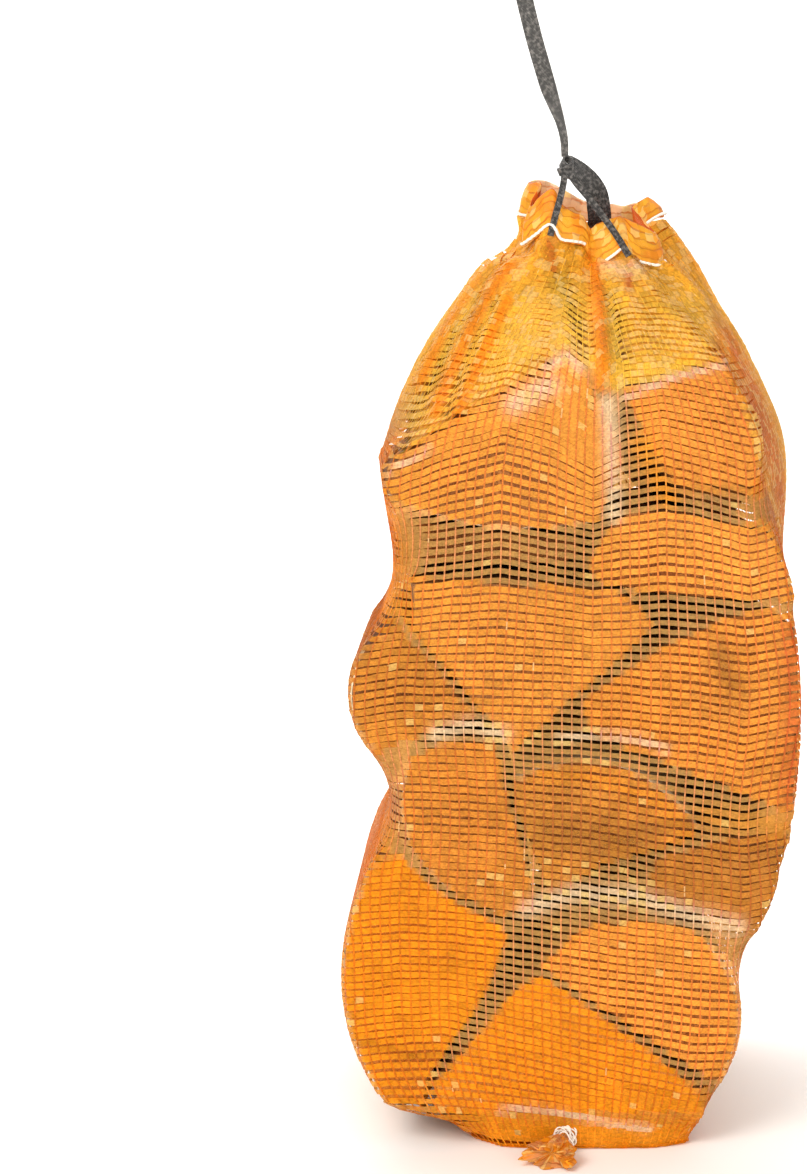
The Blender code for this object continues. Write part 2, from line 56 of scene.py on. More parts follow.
# Logs: 25 cm firewood, sawn across both ends
LOG_LENGTH = 250.0
FRONT = -0.5 * LOG_LENGTH
END_INSET = 1.2          # how far the worn edge of a sawn end draws in
END_BREAK = 2.0          # and how far along the log it starts
AXE_DEPTH = 24.0
STACK_TAPER = 0.03
TAPER = 0.015
LOG_FLOOR = 1.9
BARK_BULGE = 7.0         # a side that bulges more than this is bark
OUTLINE_STEP = 2.6       # spacing of the points round a log
SAWN_RINGS = 20          # rings of points across a sawn end
END_STATIONS = (0.0, 0.7, 2.0, 4.0)  # rings of points along a log, close at each end
STATION_STEP = 5.0       # and this far apart between
CHIP_DEPTH = 5.0         # chips broken off the edge of a sawn end
CHIP_REACH = 6.0         # and how far along the log they go
SHARP_EDGE = math.radians(48)
PITH_OUTSIDE = (40.0, -70.0)  # a log without bark: from its middle to its growth rings' middle

# The logs, seen from the front: x, z and how far the side that follows bulges out.
# "set" moves a log back, "splay" moves its back end sideways, below "cut" its front end
# is axed off, and "wood" is its kind and how light it is.
LOGS = {
    "log_top_left": dict(
        corners=((-3, 500, 0), (-115, 430, 0), (-113, 414, 13), (18, 398, 0), (34, 437, 3)),
        set=1.0, splay=-8.0, wood=("alder", 1.0)),
    "log_top_right": dict(
        corners=((30, 477, 2), (96, 495, 0), (101, 478, 8), (116, 425, 0), (105, 398, 0),
                 (80, 404, 0), (54, 432, 0), (45, 452, 0)),
        set=6.0, splay=-16.0, cut=420.0, wood=("rough", 1.03)),
    "log_right_upper": dict(
        corners=((10, 368, 0), (20, 391, 0), (36, 404, 0), (62, 405, 0), (122, 391, 2),
                 (138, 349, 4), (17, 360, 0)),
        set=1.0, splay=4.0, wood=("alder", 1.06)),
    "log_thin_slab": dict(
        corners=((-107, 396, 0), (8, 384, 0), (9, 374, 0), (-2, 368, 0), (-60, 369.5, 0),
                 (-105, 367, 0)),
        set=24.0, splay=0.0, length=222.0, wood=("alder", 0.78)),
    "log_centre": dict(
        corners=((-98, 360, 3), (32, 355, 0), (54, 334, 0), (-33, 256, 2), (-96, 334, 0)),
        set=-3.0, splay=0.0, wood=("alder", 0.97)),
    "log_left_middle": dict(
        corners=((-127, 318, 0), (-106, 333, 0), (-100, 332, 0), (-55, 276, 0), (-60, 273, 0),
                 (-74, 270, 0), (-120, 253, 12)),
        set=5.0, splay=3.0, wood=("alder", 0.78)),
    "log_right_middle": dict(
        corners=((8, 288, 0), (50, 316, 0), (92, 338, 0), (124, 344, 0), (139, 331, 4),
                 (140, 215, 0), (11, 267, 0)),
        set=0.0, splay=-9.0, wood=("rough", 0.98)),
    "log_left_lower": dict(
        corners=((-98, 250, 0), (-80, 261, 0), (-46, 263, 0), (-39, 232, 0), (-23, 176, 0),
                 (-21, 153, 0), (-42, 151, 0), (-70, 164, 18)),
        set=-2.0, splay=6.0, wood=("rough", 0.85)),
    "log_centre_lower": dict(
        corners=((-34, 238, 25), (82, 207, 0), (80, 200, 0), (20, 181, 0), (-1, 165, 0),
                 (-13, 166, 0), (-34, 222, 0)),
        set=5.0, splay=8.0, wood=("alder", 0.82)),
    "log_right_lower": dict(
        corners=((54, 185, 0), (87, 197, 2), (139, 202, 0), (132, 181, 2), (124, 151, 0),
                 (118, 139, 0), (58, 158, 0), (47, 164, 0)),
        set=3.0, splay=3.0, wood=("alder", 0.66)),
    "log_bottom_left": dict(
        corners=((-120, 184, 0), (-103, 189, 0), (-84, 169, 0), (-40, 144, 0), (-36, 137, 0),
                 (-47, 105, 0), (-57, 87, 0), (-87, 43, 0), (-91, 22, 0), (-106, 18, 27)),
        set=2.0, splay=5.0, cut=30.0, wood=("red_alder", 1.0)),
    "log_bottom_centre": dict(
        corners=((-17, 114, 0), (-31, 105, 0), (-84, 42, 0), (-83, 24, 0), (-48, LOG_FLOOR, 0),
                 (70, LOG_FLOOR, 0), (84, 14, 0), (89, 35, 2)),
        set=-3.0, splay=4.0, cut=24.0, wood=("red_alder", 1.0)),
    "log_bottom_right": dict(
        corners=((-17, 118, 0), (9, 144, 0), (46, 148, 4), (89, 133, 17), (96, 41, 0),
                 (57, 66, 0), (2, 104, 0)),
        set=0.0, splay=6.0, wood=("rough", 1.08)),
}

# Net: tapes across at 5.3 mm, thin warps down at 6.3 mm, a tube about 1.06 m round
NET_ROUND = 1060.0
WARPS = 168
COLUMNS = 280
TAPE_PITCH = 5.3
TAPE_WIDTH = 3.8
TAPE_THICKNESS = 0.16
WARP_WIDTH = 0.9
WARP_THICKNESS = 0.22
WARP_LIFT = 0.22         # a warp passes over the tapes this far out
NET_MARGIN = 1.2         # the net lies this far off the wood
LAYER_STEP = 4.0         # heights at which the bag's outline is worked out
TOP_LAYER = 552.0
REACH = 4.0              # height over which a log holds the net out
RELAX_PASSES = 140
FRONT_MIDDLE = 14.0      # the columns are counted from here, at the front
NECK_Y = -4.0
NECK_PULL = 9.0          # the drawstring pulls the neck's left side in this far
NECK_PULLED = (551.0, 560.0, 569.0, 583.0)  # from, fully from, fully to and to these heights
NECK_SIDE = (-8.0, -34.0)  # x from which it is pulled, and from which fully
CONE_START = 366.0
# Slack bag round and above the top logs: height, left reach, right reach, half depth
CONE = (
    (366.0, -114.0, 148.0, 116.0),
    (384.0, -115.0, 150.0, 121.0),
    (410.0, -116.0, 149.0, 122.0),
    (440.0, -117.0, 152.0, 122.0),
    (452.0, -113.0, 151.0, 121.0),
    (464.0, -108.0, 144.0, 118.0),
    (477.0, -102.0, 130.0, 113.0),
    (503.0, -88.0, 114.0, 97.0),
    (530.0, -70.5, 107.0, 74.0),
    (552.0, -50.0, 91.0, 48.0),
)
# Slack of the net that sags to the ground in front of the bottom logs: x, y, z
SAG = (
    (-90.0, -108.0, 19.0),
    (-66.0, -118.0, 12.0),
    (-42.0, -124.0, 5.0),
    (-20.0, -127.0, 1.0),
    (20.0, -128.0, 1.0),
    (58.0, -126.0, 1.0),
    (76.0, -118.0, 3.0),
    (86.0, -104.0, 12.0),
)
SAG_TOP = 27.0           # up to there it hangs straight
GROUND = 0.15            # nothing reaches below this
FOLD_START = 486.0
SEAM_LEVEL = TOP_LAYER + 26.0  # the level at which a tape lies on the seam
# Upper edge of the wood behind the net: x, z. Above it the net is slack.
WOOD_TOP = ((-125.0, 425.0), (-115.0, 430.0), (-3.0, 500.0), (27.0, 474.0), (96.0, 495.0),
            (112.0, 440.0), (128.0, 400.0), (140.0, 352.0))
WOOD_SIGHT = 20.0        # how far behind the net wood still gives it its tone
RIDGE_HEIGHT = 3.4
SLOT_DEPTH = 1.2
MARK_FADE = (20.0, -65.0)  # y at which a mark has faded out, and at which it is full
SLOT_FADE = (40.0, 5.0)  # the same for a slot
# Tapes slide close together from the front backwards (y), round the sides (how far they
# face sideways, and x from the middle) and where the net lies on the ground (z)
CLOSE_BEHIND = (-95.0, -40.0)
CLOSE_FACING = (0.2, 0.5)
CLOSE_BESIDE = (100.0, 114.0)
CLOSE_BELOW = (34.0, 22.0)
NECK_SQUARES = (490.0, 545.0)  # heights over which the squares keep their width
WARPS_SINK = (500.0, 540.0)    # and over which some warps sink into the folds
SLACK_ROWS = 48
SLACK_DEPTH = 1.3        # the folded layers lie this far behind the tapes
PLEATS = 42
PLEAT_DEPTH = 2.6
PLEAT_RISE = (430.0, 545.0)  # heights over which the pleats deepen
BOW_SIDE = (60.0, -60.0)     # y at which a tape stops bowing, and at which it fully does
TONE_REACH = (15.0, 7.0)     # distance from which wood tints the net, and fully tints it
LAYER_HOLD = 3.0             # height over which wood pushes a layer out as it relaxes,
LAYER_MARGIN = 0.8           # and how far off the wood it then stays at least
# Marks on the front of the net: a ridge or a slot between folds (painted dark in the folded
# layer behind), a place that is pale (bark behind, and painted highlights down a fold and where
# the net turns under), red orange in painted shade, orange, warm or darker (painted shade, and
# one dark knot in the wood), film painted with highlights that glint, or tapes slid close together.
# Half width, then x and z along each.
NET_MARKS = (
    ("ridge", 5.0, ((20, 552), (19, 525), (18.5, 501), (18.2, 482))),
    # Painted highlight down the net's fold below the ridge
    ("pale", 5.5, ((22, 470), (25, 440), (27, 402))),
    ("ridge", 4.4, ((-82, 466), (-66, 501), (-48, 534), (-34, 552))),
    ("ridge", 3.6, ((-92, 477), (-75, 512), (-55, 542))),
    ("ridge", 3.8, ((-70, 462), (-55, 495), (-37, 531))),
    ("slot", 7.0, ((-4, 545), (3, 528), (7, 500))),
    ("slot", 6.0, ((25, 540), (28, 522), (30, 492))),
    ("slot", 4.2, ((-106, 441), (-84, 482), (-65, 516), (-54, 530))),
    ("slot", 2.6, ((-76, 464), (-61, 498), (-43, 532))),
    ("pale", 2.0, ((-112, 428), (-86, 442))),
    ("pale", 3.4, ((-15, 492), (-2, 499), (5, 492))),
    ("pale", 2.2, ((33, 474), (64, 486), (96, 494))),
    ("pale", 5.0, ((-82, 266), (-62, 272), (-40, 266))),
    ("pale", 3.0, ((-6, 263), (18, 266), (43, 263), (60, 256))),
    ("pale", 6.0, ((-25, 155), (3, 165), (43, 163), (80, 150), (107, 142))),
    # Painted highlight where the net turns under the bottom middle log
    ("pale", 2.2, ((-41, 25), (-22, 27), (-3, 24), (16, 19), (35, 15.5), (53, 13.5))),
    ("pale", 4.0, ((26, 552), (36, 549), (48, 551))),
    # Painted shade down the bag's right side, turned from the light
    ("red_shade", 12.0, ((106, 508), (114, 480), (124, 452), (134, 420), (143, 390), (147, 360))),
    ("red_shade", 8.0, ((138, 330), (140, 280), (139, 226))),
    # Painted shade just below the ends of the drawstring's legs
    ("red_shade", 3.0, ((-9, 566), (-7, 550))),
    ("red_shade", 3.0, ((41, 552), (39, 538))),
    ("warm", 9.0, ((88, 213), (136, 206))),
    ("close", 8.0, ((92, 213), (136, 207))),
    ("pale", 7.0, ((-34, 470), (-14, 481))),
    ("orange", 9.0, ((-114, 408), (-108, 378), (-111, 345), (-122, 335))),
    ("orange", 8.0, ((-124, 240), (-116, 205), (-128, 175))),
    ("orange", 8.0, ((44, 445), (60, 412))),
    ("orange", 10.0, ((-98, 42), (-62, 22), (-30, 14))),
    ("warm", 5.0, ((-17, 241), (20, 237), (53, 224), (74, 203))),
    ("warm", 7.0, ((-118, 178), (-90, 160), (-70, 135))),
    ("shade", 12.0, ((-12, 203), (40, 198))),
    ("shade", 8.0, ((92, 317), (100, 297))),
    ("shade", 5.0, ((14, 190), (44, 204), (80, 210))),
    ("shade", 4.0, ((-128, 69), (-103, 61), (-72, 58))),
    ("glint", 15.0, ((-20, 483), (6, 474))),
    ("glint", 9.0, ((-85, 45), (-60, 32))),
    ("glint", 12.0, ((-30, 170), (10, 172), (60, 160))),
    ("glint", 8.0, ((-75, 270), (50, 262))),
)
# How the tapes bow: height, then how much higher a tape runs at each x of BOW_X
BOW_X = (-135.0, -104.0, -74.0, -43.0, -13.0, 14.0, 32.0, 57.0, 79.0, 110.0, 140.0)
BOW = (
    (0.0, 0.0, 4.0, 5.0, 4.0, 2.0, 0.0, -1.0, -3.0, -4.0, -3.0, 0.0),
    (50.0, 14.0, 18.0, 20.0, 14.0, 7.0, 0.0, -4.0, -9.0, -14.0, -14.0, -6.0),
    (120.0, 9.0, 12.0, 11.0, 8.0, 4.0, 0.0, -3.0, -6.0, -9.0, -12.0, -6.0),
    (200.0, 6.0, 10.0, 9.0, 7.0, 3.0, 0.0, -3.0, -8.0, -11.0, -16.0, -10.0),
    (290.0, -3.0, 3.0, 3.0, 2.0, 1.0, 0.0, -1.0, -4.0, -6.0, -12.0, -6.0),
    (345.0, -2.0, 2.5, 6.0, 8.0, 4.0, 0.0, 1.0, 3.0, 1.0, -3.0, 2.0),
    (380.0, -3.0, 1.0, 5.0, 10.0, 4.0, 0.0, 3.0, 6.0, 4.0, -4.0, 4.0),
    (430.0, -10.0, -4.0, 8.0, 17.0, 9.0, -4.0, 4.0, 9.0, 3.0, -6.0, 4.0),
    (480.0, -10.0, -5.0, 6.0, 12.0, 8.0, -12.0, 4.0, 7.0, 3.0, -3.0, 2.0),
    (530.0, 0.0, 0.0, 2.0, 4.0, 4.0, -12.0, 3.0, 3.0, 0.0, 0.0, 0.0),
    (560.0, 0.0, 0.0, 0.0, 0.0, 0.0, 0.0, 0.0, 0.0, 0.0, 0.0, 0.0),
)

# Seam of the hem, from the front middle round by the right: x, y, z
SEAM = (
    (16.6, -36, 553.4), (18.8, -42, 549.8), (24.3, -45, 551.8), (31.2, -45, 556.8),
    (37, -43, 561.1), (40.3, -41, 558), (44.2, -41, 553.5), (51.4, -39, 551), (59.3, -36, 549.6),
    (63.7, -29, 552), (57.1, -23, 560.8), (50.2, -20, 567.1), (48, -16, 570.2),
    (55.5, -10, 577.2), (63.9, -2, 581.6), (67.2, 6, 581.5), (62.8, 15, 580.8), (53.2, 24, 578.1),
    (43.4, 17, 578.2), (35, 26, 578.1), (23.9, 18, 578.2), (13.9, 26, 579.4), (2.9, 18, 582.1),
    (-7.9, 24, 584.6), (-19.4, 16, 585.3), (-26.4, 4, 583.5), (-25.5, -6, 581.6),
    (-18.2, -16, 579.1), (-23.1, -25, 568.4), (-25.8, -30, 562.8), (-17.3, -37, 569.2),
    (-8.6, -41, 575.6), (-2.9, -42, 566.8), (5.4, -41, 564.9), (12.6, -37, 562.9),
)
# Upper edge of the hem, point for point
EDGE = (
    (16.6, -33, 574.2), (19.5, -37, 576.1), (25, -40, 578.7), (30.7, -40, 580.6),
    (35.2, -38, 581.8), (38.6, -36, 580.5), (42.5, -35, 578.6), (48.5, -32, 576.1),
    (55.1, -29, 572.9), (59.4, -24, 570.9), (52.7, -19, 578.5), (45.9, -16, 585.5),
    (45.5, -12, 588), (51.7, -7, 591.8), (56.7, -1, 593.7), (61.3, 6, 590.5), (57.4, 14, 589.2),
    (49, 23, 589.8), (42, 17, 587.9), (34.8, 25, 589.2), (25.1, 18, 588.6), (15.1, 25, 591.8),
    (4.1, 18, 597.6), (-6.8, 22, 603.4), (-15, 15, 604.7), (-20.7, 4, 603.4), (-19.9, -6, 602.7),
    (-13.9, -15, 602.6), (-19.9, -22, 592.5), (-20.7, -27, 588.1), (-14.7, -33, 594.4),
    (-7.3, -37, 598.8), (-1.6, -38, 589.3), (5.5, -37, 584.3), (12, -34, 581.8),
)
# The cloth is gathered unevenly: which column comes to which point of the seam
SEAM_SPREAD = ((0.0, 9.0, 15.5, 25.0, 35.0), (0.0, 60.0, 78.0, 202.0, 280.0))
HEM_GAP = 1.4            # between the two layers of the hem
# Runs of the hem's stitches that show between its folds, counted in points of the seam
STITCH_RUNS = ((24.9, 27.2), (29.0, 31.1), (31.1, 34.0), (0.9, 4.2), (6.0, 9.1), (11.8, 15.2),
               (16.5, 18.6), (20.2, 22.4))
STITCH_GIRTH = 1.9
STITCH_POINTS = 44
HEM_STEPS = 9

GATHER = (4.0, -117.0, 4.5)   # where the tube's lower end is tied
BASE_ROWS = 16
TUFT_ROOT = (4.0, -117.0, 7.5)
TUFT_TIP = (-13.0, -165.0, 7.0)
# Radius of the tied end at each share of its length
TUFT_RADII = ((0.0, 0.2, 0.4, 0.6, 0.8, 1.0), (5.0, 4.2, 4.2, 9.0, 14.0, 15.0))
WRAP_MIDDLE = (-1.0, -131.0, 7.6)  # the white thread is wound round it here
WRAP_TURNS = 11.0
WRAP_THREAD = 0.9
WRAP_POINTS = 420
TUFT_RINGS = 26
TUFT_ROUND = 84

# Drawstring: flat black woven tape
STRING_WIDTH = 10.5
STRING_THICKNESS = 1.0
LEG_WIDTH = 4.2
STRAP_WIDTH = 15.0
KNOT = (1.0, -37.0, 613.0)
END_KNOT = (-28.5, -37.0, 727.5)
# Routes: x, y, z and the way the flat of the tape faces
TAIL = (
    ((0.0, -37.0, 619.5), (0.3, -1.0, 0.0)),
    ((-0.5, -37.0, 630.0), (0.5, -1.0, 0.0)),
    ((-3.0, -37.0, 641.0), (0.7, -1.0, 0.0)),
    ((-6.5, -37.0, 651.0), (0.5, -1.0, 0.0)),
    ((-10.5, -37.0, 662.0), (0.3, -1.0, 0.0)),
    ((-14.5, -37.0, 675.0), (0.1, -1.0, 0.0)),
    ((-19.0, -37.0, 690.0), (0.0, -1.0, 0.0)),
    ((-23.0, -37.0, 705.0), (0.0, -1.0, 0.0)),
    ((-27.0, -37.0, 721.0), (0.0, -1.0, 0.0)),
)
LEG_LEFT = (
    ((0.0, -40.0, 612.0), (0.0, -1.0, 0.1)),
    ((-1.0, -42.0, 603.0), (0.0, -1.0, 0.0)),
    ((-3.2, -43.0, 593.0), (0.0, -1.0, 0.0)),
    ((-6.2, -43.0, 582.0), (0.0, -1.0, 0.0)),
    ((-9.0, -41.5, 570.0), (0.0, -1.0, 0.0)),
)
LEG_RIGHT = (
    ((2.0, -40.5, 610.5), (0.2, -1.0, 0.2)),
    ((7.0, -43.0, 603.0), (0.0, -1.0, 0.1)),
    ((15.0, -45.0, 593.5), (0.0, -1.0, 0.0)),
    ((26.0, -46.0, 579.5), (0.0, -1.0, 0.0)),
    ((34.0, -46.5, 568.0), (0.0, -1.0, 0.0)),
    ((40.5, -45.5, 557.5), (0.0, -1.0, 0.0)),
)
STRAP = (
    ((1.0, -37.5, 614.0), (-0.1, -1.0, 0.5)),
    ((6.0, -37.0, 611.5), (0.0, -1.0, 0.5)),
    ((11.5, -35.5, 607.5), (0.2, -1.0, 0.3)),
    ((16.5, -34.0, 602.5), (0.3, -1.0, 0.1)),
    ((20.5, -31.0, 596.0), (0.2, -1.0, 0.0)),
    ((22.5, -25.0, 588.0), (0.0, -1.0, 0.2)),
    ((23.5, -17.0, 577.0), (0.0, -1.0, 0.3)),
    ((19.0, -10.5, 568.0), (-0.3, -1.0, 0.2)),
    ((11.0, -5.5, 562.5), (-0.8, -0.6, 0.0)),
    ((9.5, 3.0, 560.5), (-1.0, 0.2, 0.0)),
    ((16.0, 9.0, 559.5), (-0.2, 1.0, 0.0)),
    ((25.0, 8.0, 559.5), (0.6, 0.8, 0.0)),
    ((30.0, 1.0, 560.5), (1.0, -0.2, 0.0)),
)


# Helpers

def linear(colour):
    """Linear red, green, blue and alpha from an sRGB hex colour."""
    shares = [int(colour[i:i + 2], 16) / 255.0 for i in (1, 3, 5)]
    return (*[c / 12.92 if c <= 0.04045 else ((c + 0.055) / 1.055) ** 2.4 for c in shares],
            1.0)


def place(points):
    """World metres from design millimetres."""
    return (np.asarray(points, float) + STAND) * MM


def smooth(low, high, value):
    """0 below low, 1 above high and an even curve between."""
    t = np.clip((value - low) / (high - low), 0.0, 1.0)
    return t * t * (3.0 - 2.0 * t)


def unit(vectors):
    return vectors / np.maximum(np.linalg.norm(vectors, axis=-1, keepdims=True), 1e-9)


def evened(values, passes):
    """Values round a loop, each drawn towards its two neighbours."""
    for _ in range(passes):
        values = 0.5 * values + 0.25 * (np.roll(values, 1) + np.roll(values, -1))
    return values


def turn_round(count):
    """Angles round a circle, the last one short of a full turn."""
    return np.linspace(0.0, 2.0 * math.pi, count, endpoint=False)


def soft_noise(points, seed=0):
    """Smooth random values from -1 to 1, one feature a unit."""
    cell = np.floor(points).astype(np.int64)
    part = points - cell
    part = part * part * (3.0 - 2.0 * part)
    total = np.zeros(points.shape[:-1])
    for corner in np.ndindex(2, 2, 2):
        spot = cell + np.array(corner)
        key = spot[..., 0] * 73856093 ^ spot[..., 1] * 19349663 ^ spot[..., 2] * 83492791
        key = (key + seed * 7919) & 0x7FFFFFFF
        key = ((key >> 13) ^ key) * 1274126177 & 0x7FFFFFFF
        value = ((key >> 7) & 0xFFFF) / 32767.5 - 1.0
        weight = np.where(np.array(corner), part, 1.0 - part).prod(axis=-1)
        total += weight * value
    return total


def curve_through(points, count, closed=False, at_points=None):
    """Points on a smooth curve through the given ones, evenly or at given places."""
    p = np.asarray(points, float)
    n = len(p)
    t = np.linspace(0.0, n if closed else n - 1, count, endpoint=not closed)
    t = t if at_points is None else at_points
    i = np.minimum(np.floor(t).astype(int), n - (1 if closed else 2))
    f = (t - i)[:, None]

    def at(k):
        return p[k % n] if closed else p[np.clip(k, 0, n - 1)]

    a, b, c, d = at(i - 1), at(i), at(i + 1), at(i + 2)
    return 0.5 * (2 * b + (c - a) * f + (2 * a - 5 * b + 4 * c - d) * f ** 2
                  + (3 * b - a - 3 * c + d) * f ** 3)


def new_mesh(name, verts, faces, edges=()):
    mesh = bpy.data.meshes.new(name)
    mesh.from_pydata(np.asarray(verts).tolist(), list(edges), list(faces))
    return mesh


def store(mesh, name, values, kind="FLOAT"):
    """A value for each point of a mesh."""
    layer = mesh.attributes.new(name, kind, "POINT")
    field = "value" if kind == "FLOAT" else "vector"
    layer.data.foreach_set(field, np.asarray(values, np.float32).ravel())


def show(name, mesh, nodes=()):
    """A piece that rides with the bundle, and the solids that it stands for."""
    piece = bpy.data.objects.new(name, mesh)
    scene.collection.objects.link(piece)
    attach(piece, "root")
    if nodes:
        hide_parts(*nodes)
    return piece


def node(tree, kind, settings=None, links=None):
    """Adds a node. Links give a value, or another node's output, for each named input."""
    made = tree.nodes.new(kind)
    for key, value in (settings or {}).items():
        setattr(made, key, value)
    for key, value in (links or {}).items():
        if isinstance(value, bpy.types.NodeSocket):
            tree.links.new(value, made.inputs[key])
        else:
            made.inputs[key].default_value = value
    return made


# Camera

aim = place([CAMERA_AIM])[0]
camera_data = bpy.data.cameras.new("camera")
camera_data.lens = CAMERA_LENS
camera = bpy.data.objects.new("camera", camera_data)
back = np.array([0.0, -math.cos(CAMERA_RISE), math.sin(CAMERA_RISE)])
camera.location = aim + back * CAMERA_DISTANCE * MM
camera.rotation_euler = (math.pi / 2 - CAMERA_RISE, 0.0, 0.0)
scene.collection.objects.link(camera)
scene.camera = camera


# Sweeping a flat tape or a round thread along paths

def sweep_tree(name, round_section):
    """Geometry Nodes: a tape or thread along every edge path of a mesh."""
    tree = bpy.data.node_groups.new(name, "GeometryNodeTree")
    for label, way, kind in (("Paths", "INPUT", "NodeSocketGeometry"),
                             ("Width", "INPUT", "NodeSocketFloat"),
                             ("Thickness", "INPUT", "NodeSocketFloat"),
                             ("Finish", "INPUT", "NodeSocketMaterial"),
                             ("Swept", "OUTPUT", "NodeSocketGeometry")):
        tree.interface.new_socket(name=label, in_out=way, socket_type=kind)
    given = tree.nodes.new("NodeGroupInput").outputs
    path = node(tree, "GeometryNodeMeshToCurve", links={"Mesh": given["Paths"]})
    facing = node(tree, "GeometryNodeInputNamedAttribute", {"data_type": "FLOAT_VECTOR"},
                  {"Name": "facing"})
    turned = node(tree, "GeometryNodeSetCurveNormal", {"mode": "FREE"},
                  {"Curve": path.outputs["Curve"], "Normal": facing.outputs["Attribute"]})
    if round_section:
        half = node(tree, "ShaderNodeMath", {"operation": "MULTIPLY"}, {0: given["Width"], 1: 0.5})
        profile = node(tree, "GeometryNodeCurvePrimitiveCircle", {"mode": "RADIUS"},
                       {"Resolution": 6, "Radius": half.outputs[0]})
    else:
        profile = node(tree, "GeometryNodeCurvePrimitiveQuadrilateral", {"mode": "RECTANGLE"},
                       {"Width": given["Thickness"], "Height": given["Width"]})
    girth = node(tree, "GeometryNodeInputNamedAttribute", {"data_type": "FLOAT"},
                 {"Name": "girth"})
    swept = node(tree, "GeometryNodeCurveToMesh", links={
        "Curve": turned.outputs["Curve"], "Profile Curve": profile.outputs["Curve"],
        "Scale": girth.outputs["Attribute"], "Fill Caps": True})
    real = node(tree, "GeometryNodeRealizeInstances", links={"Geometry": swept.outputs["Mesh"]})
    painted = node(tree, "GeometryNodeSetMaterial", links={
        "Geometry": real.outputs["Geometry"], "Material": given["Finish"]})
    done = tree.nodes.new("NodeGroupOutput")
    tree.links.new(painted.outputs["Geometry"], done.inputs["Swept"])
    return tree


TAPE_SWEEP = sweep_tree("sweep_flat_tape", False)
THREAD_SWEEP = sweep_tree("sweep_round_thread", True)


def sweep(name, paths, facings, width, thickness, finish, closed=False, girths=None,
          tree=TAPE_SWEEP, extra=None):
    """Mesh of tapes or threads along equally long paths, from design millimetres."""
    paths = np.asarray(paths, float)
    facings = np.asarray(facings, float)
    rows, count = paths.shape[:2]
    index = np.arange(rows * count).reshape(rows, count)
    ends = np.roll(index, -1, axis=1) if closed else index[:, 1:]
    starts = index if closed else index[:, :-1]
    edges = np.stack([starts.ravel(), ends.ravel()], axis=1).tolist()
    guide = new_mesh(name + "_path", place(paths).reshape(-1, 3), [], edges)
    store(guide, "facing", np.broadcast_to(facings, paths.shape), "FLOAT_VECTOR")
    store(guide, "girth", np.ones(paths.shape[:2]) if girths is None else girths)
    for label, values in (extra or {}).items():
        store(guide, label, values, "FLOAT" if np.ndim(values) == 2 else "FLOAT_VECTOR")
    carrier = bpy.data.objects.new(name + "_path", guide)
    scene.collection.objects.link(carrier)
    nodes = carrier.modifiers.new("Sweep", "NODES")
    nodes.node_group = tree
    sockets = {item.name: item.identifier for item in tree.interface.items_tree}
    nodes[sockets["Width"]] = width * MM
    nodes[sockets["Thickness"]] = thickness * MM
    nodes[sockets["Finish"]] = finish
    seen = bpy.context.evaluated_depsgraph_get()
    mesh = bpy.data.meshes.new_from_object(carrier.evaluated_get(seen), depsgraph=seen,
                                           preserve_all_data_layers=True)
    mesh.name = name
    bpy.data.objects.remove(carrier, do_unlink=True)
    bpy.data.meshes.remove(guide)
    if "facing" in mesh.attributes:
        mesh.attributes.remove(mesh.attributes["facing"])
    spots = np.empty(3 * len(mesh.vertices), np.float32)
    mesh.vertices.foreach_get("co", spots)
    spots[2::3] = np.maximum(spots[2::3], GROUND * MM)
    mesh.vertices.foreach_set("co", spots)
    mesh.set_sharp_from_angle(angle=math.radians(50))
    return mesh


# Materials

def material(name):
    finish = bpy.data.materials.new(name)
    finish.use_nodes = True
    finish.node_tree.nodes.clear()
    return finish, finish.node_tree


def finish_surface(tree, shader):
    out = tree.nodes.new("ShaderNodeOutputMaterial")
    tree.links.new(shader, out.inputs["Surface"])


def solid_surface(tree, colour, roughness, height, depth, sheen=0.0):
    """A surface that lets no light through, its relief so many millimetres deep."""
    relief = node(tree, "ShaderNodeBump", links={"Height": height, "Distance": depth * MM})
    surface = node(tree, "ShaderNodeBsdfPrincipled", links={
        "Base Color": colour, "Roughness": roughness, "Sheen Weight": sheen,
        "Normal": relief.outputs[0]})
    finish_surface(tree, surface.outputs[0])


def shaded_squares(tree, cell, darkest, lightest):
    """Three random values for each square of the net, and its tone shaded by the first."""
    tone = node(tree, "ShaderNodeAttribute", {"attribute_name": "tone"}).outputs["Color"]
    square = node(tree, "ShaderNodeVectorMath", {"operation": "FLOOR"}, {0: cell})
    chance = node(tree, "ShaderNodeTexWhiteNoise", links={"Vector": square.outputs[0]})
    luck = node(tree, "ShaderNodeSeparateColor", links={"Color": chance.outputs["Color"]})
    shade = node(tree, "ShaderNodeMapRange", links={
        "Value": luck.outputs[0], "To Min": darkest, "To Max": lightest})
    shaded = node(tree, "ShaderNodeVectorMath", {"operation": "SCALE"},
                  {"Vector": tone, "Scale": shade.outputs[0]})
    return luck.outputs, shaded.outputs[0]


def see_through(tree, colour, relief, roughness, cover, glow_share, tint):
    """Thin polyethylene: satin, partly open to what lies behind it, partly glowing through."""
    body = node(tree, "ShaderNodeBsdfPrincipled", links={
        "Base Color": colour, "Roughness": roughness, "IOR": 1.5, "Specular IOR Level": 0.25,
        "Normal": relief.outputs[0]})
    through = node(tree, "ShaderNodeBsdfTransparent", links={"Color": linear(tint)})
    glow = node(tree, "ShaderNodeBsdfTranslucent", links={"Color": colour})
    solid = node(tree, "ShaderNodeMixShader", links={
        0: glow_share, 1: body.outputs[0], 2: glow.outputs[0]})
    both = node(tree, "ShaderNodeMixShader", links={
        0: cover, 1: through.outputs[0], 2: solid.outputs[0]})
    finish_surface(tree, both.outputs[0])


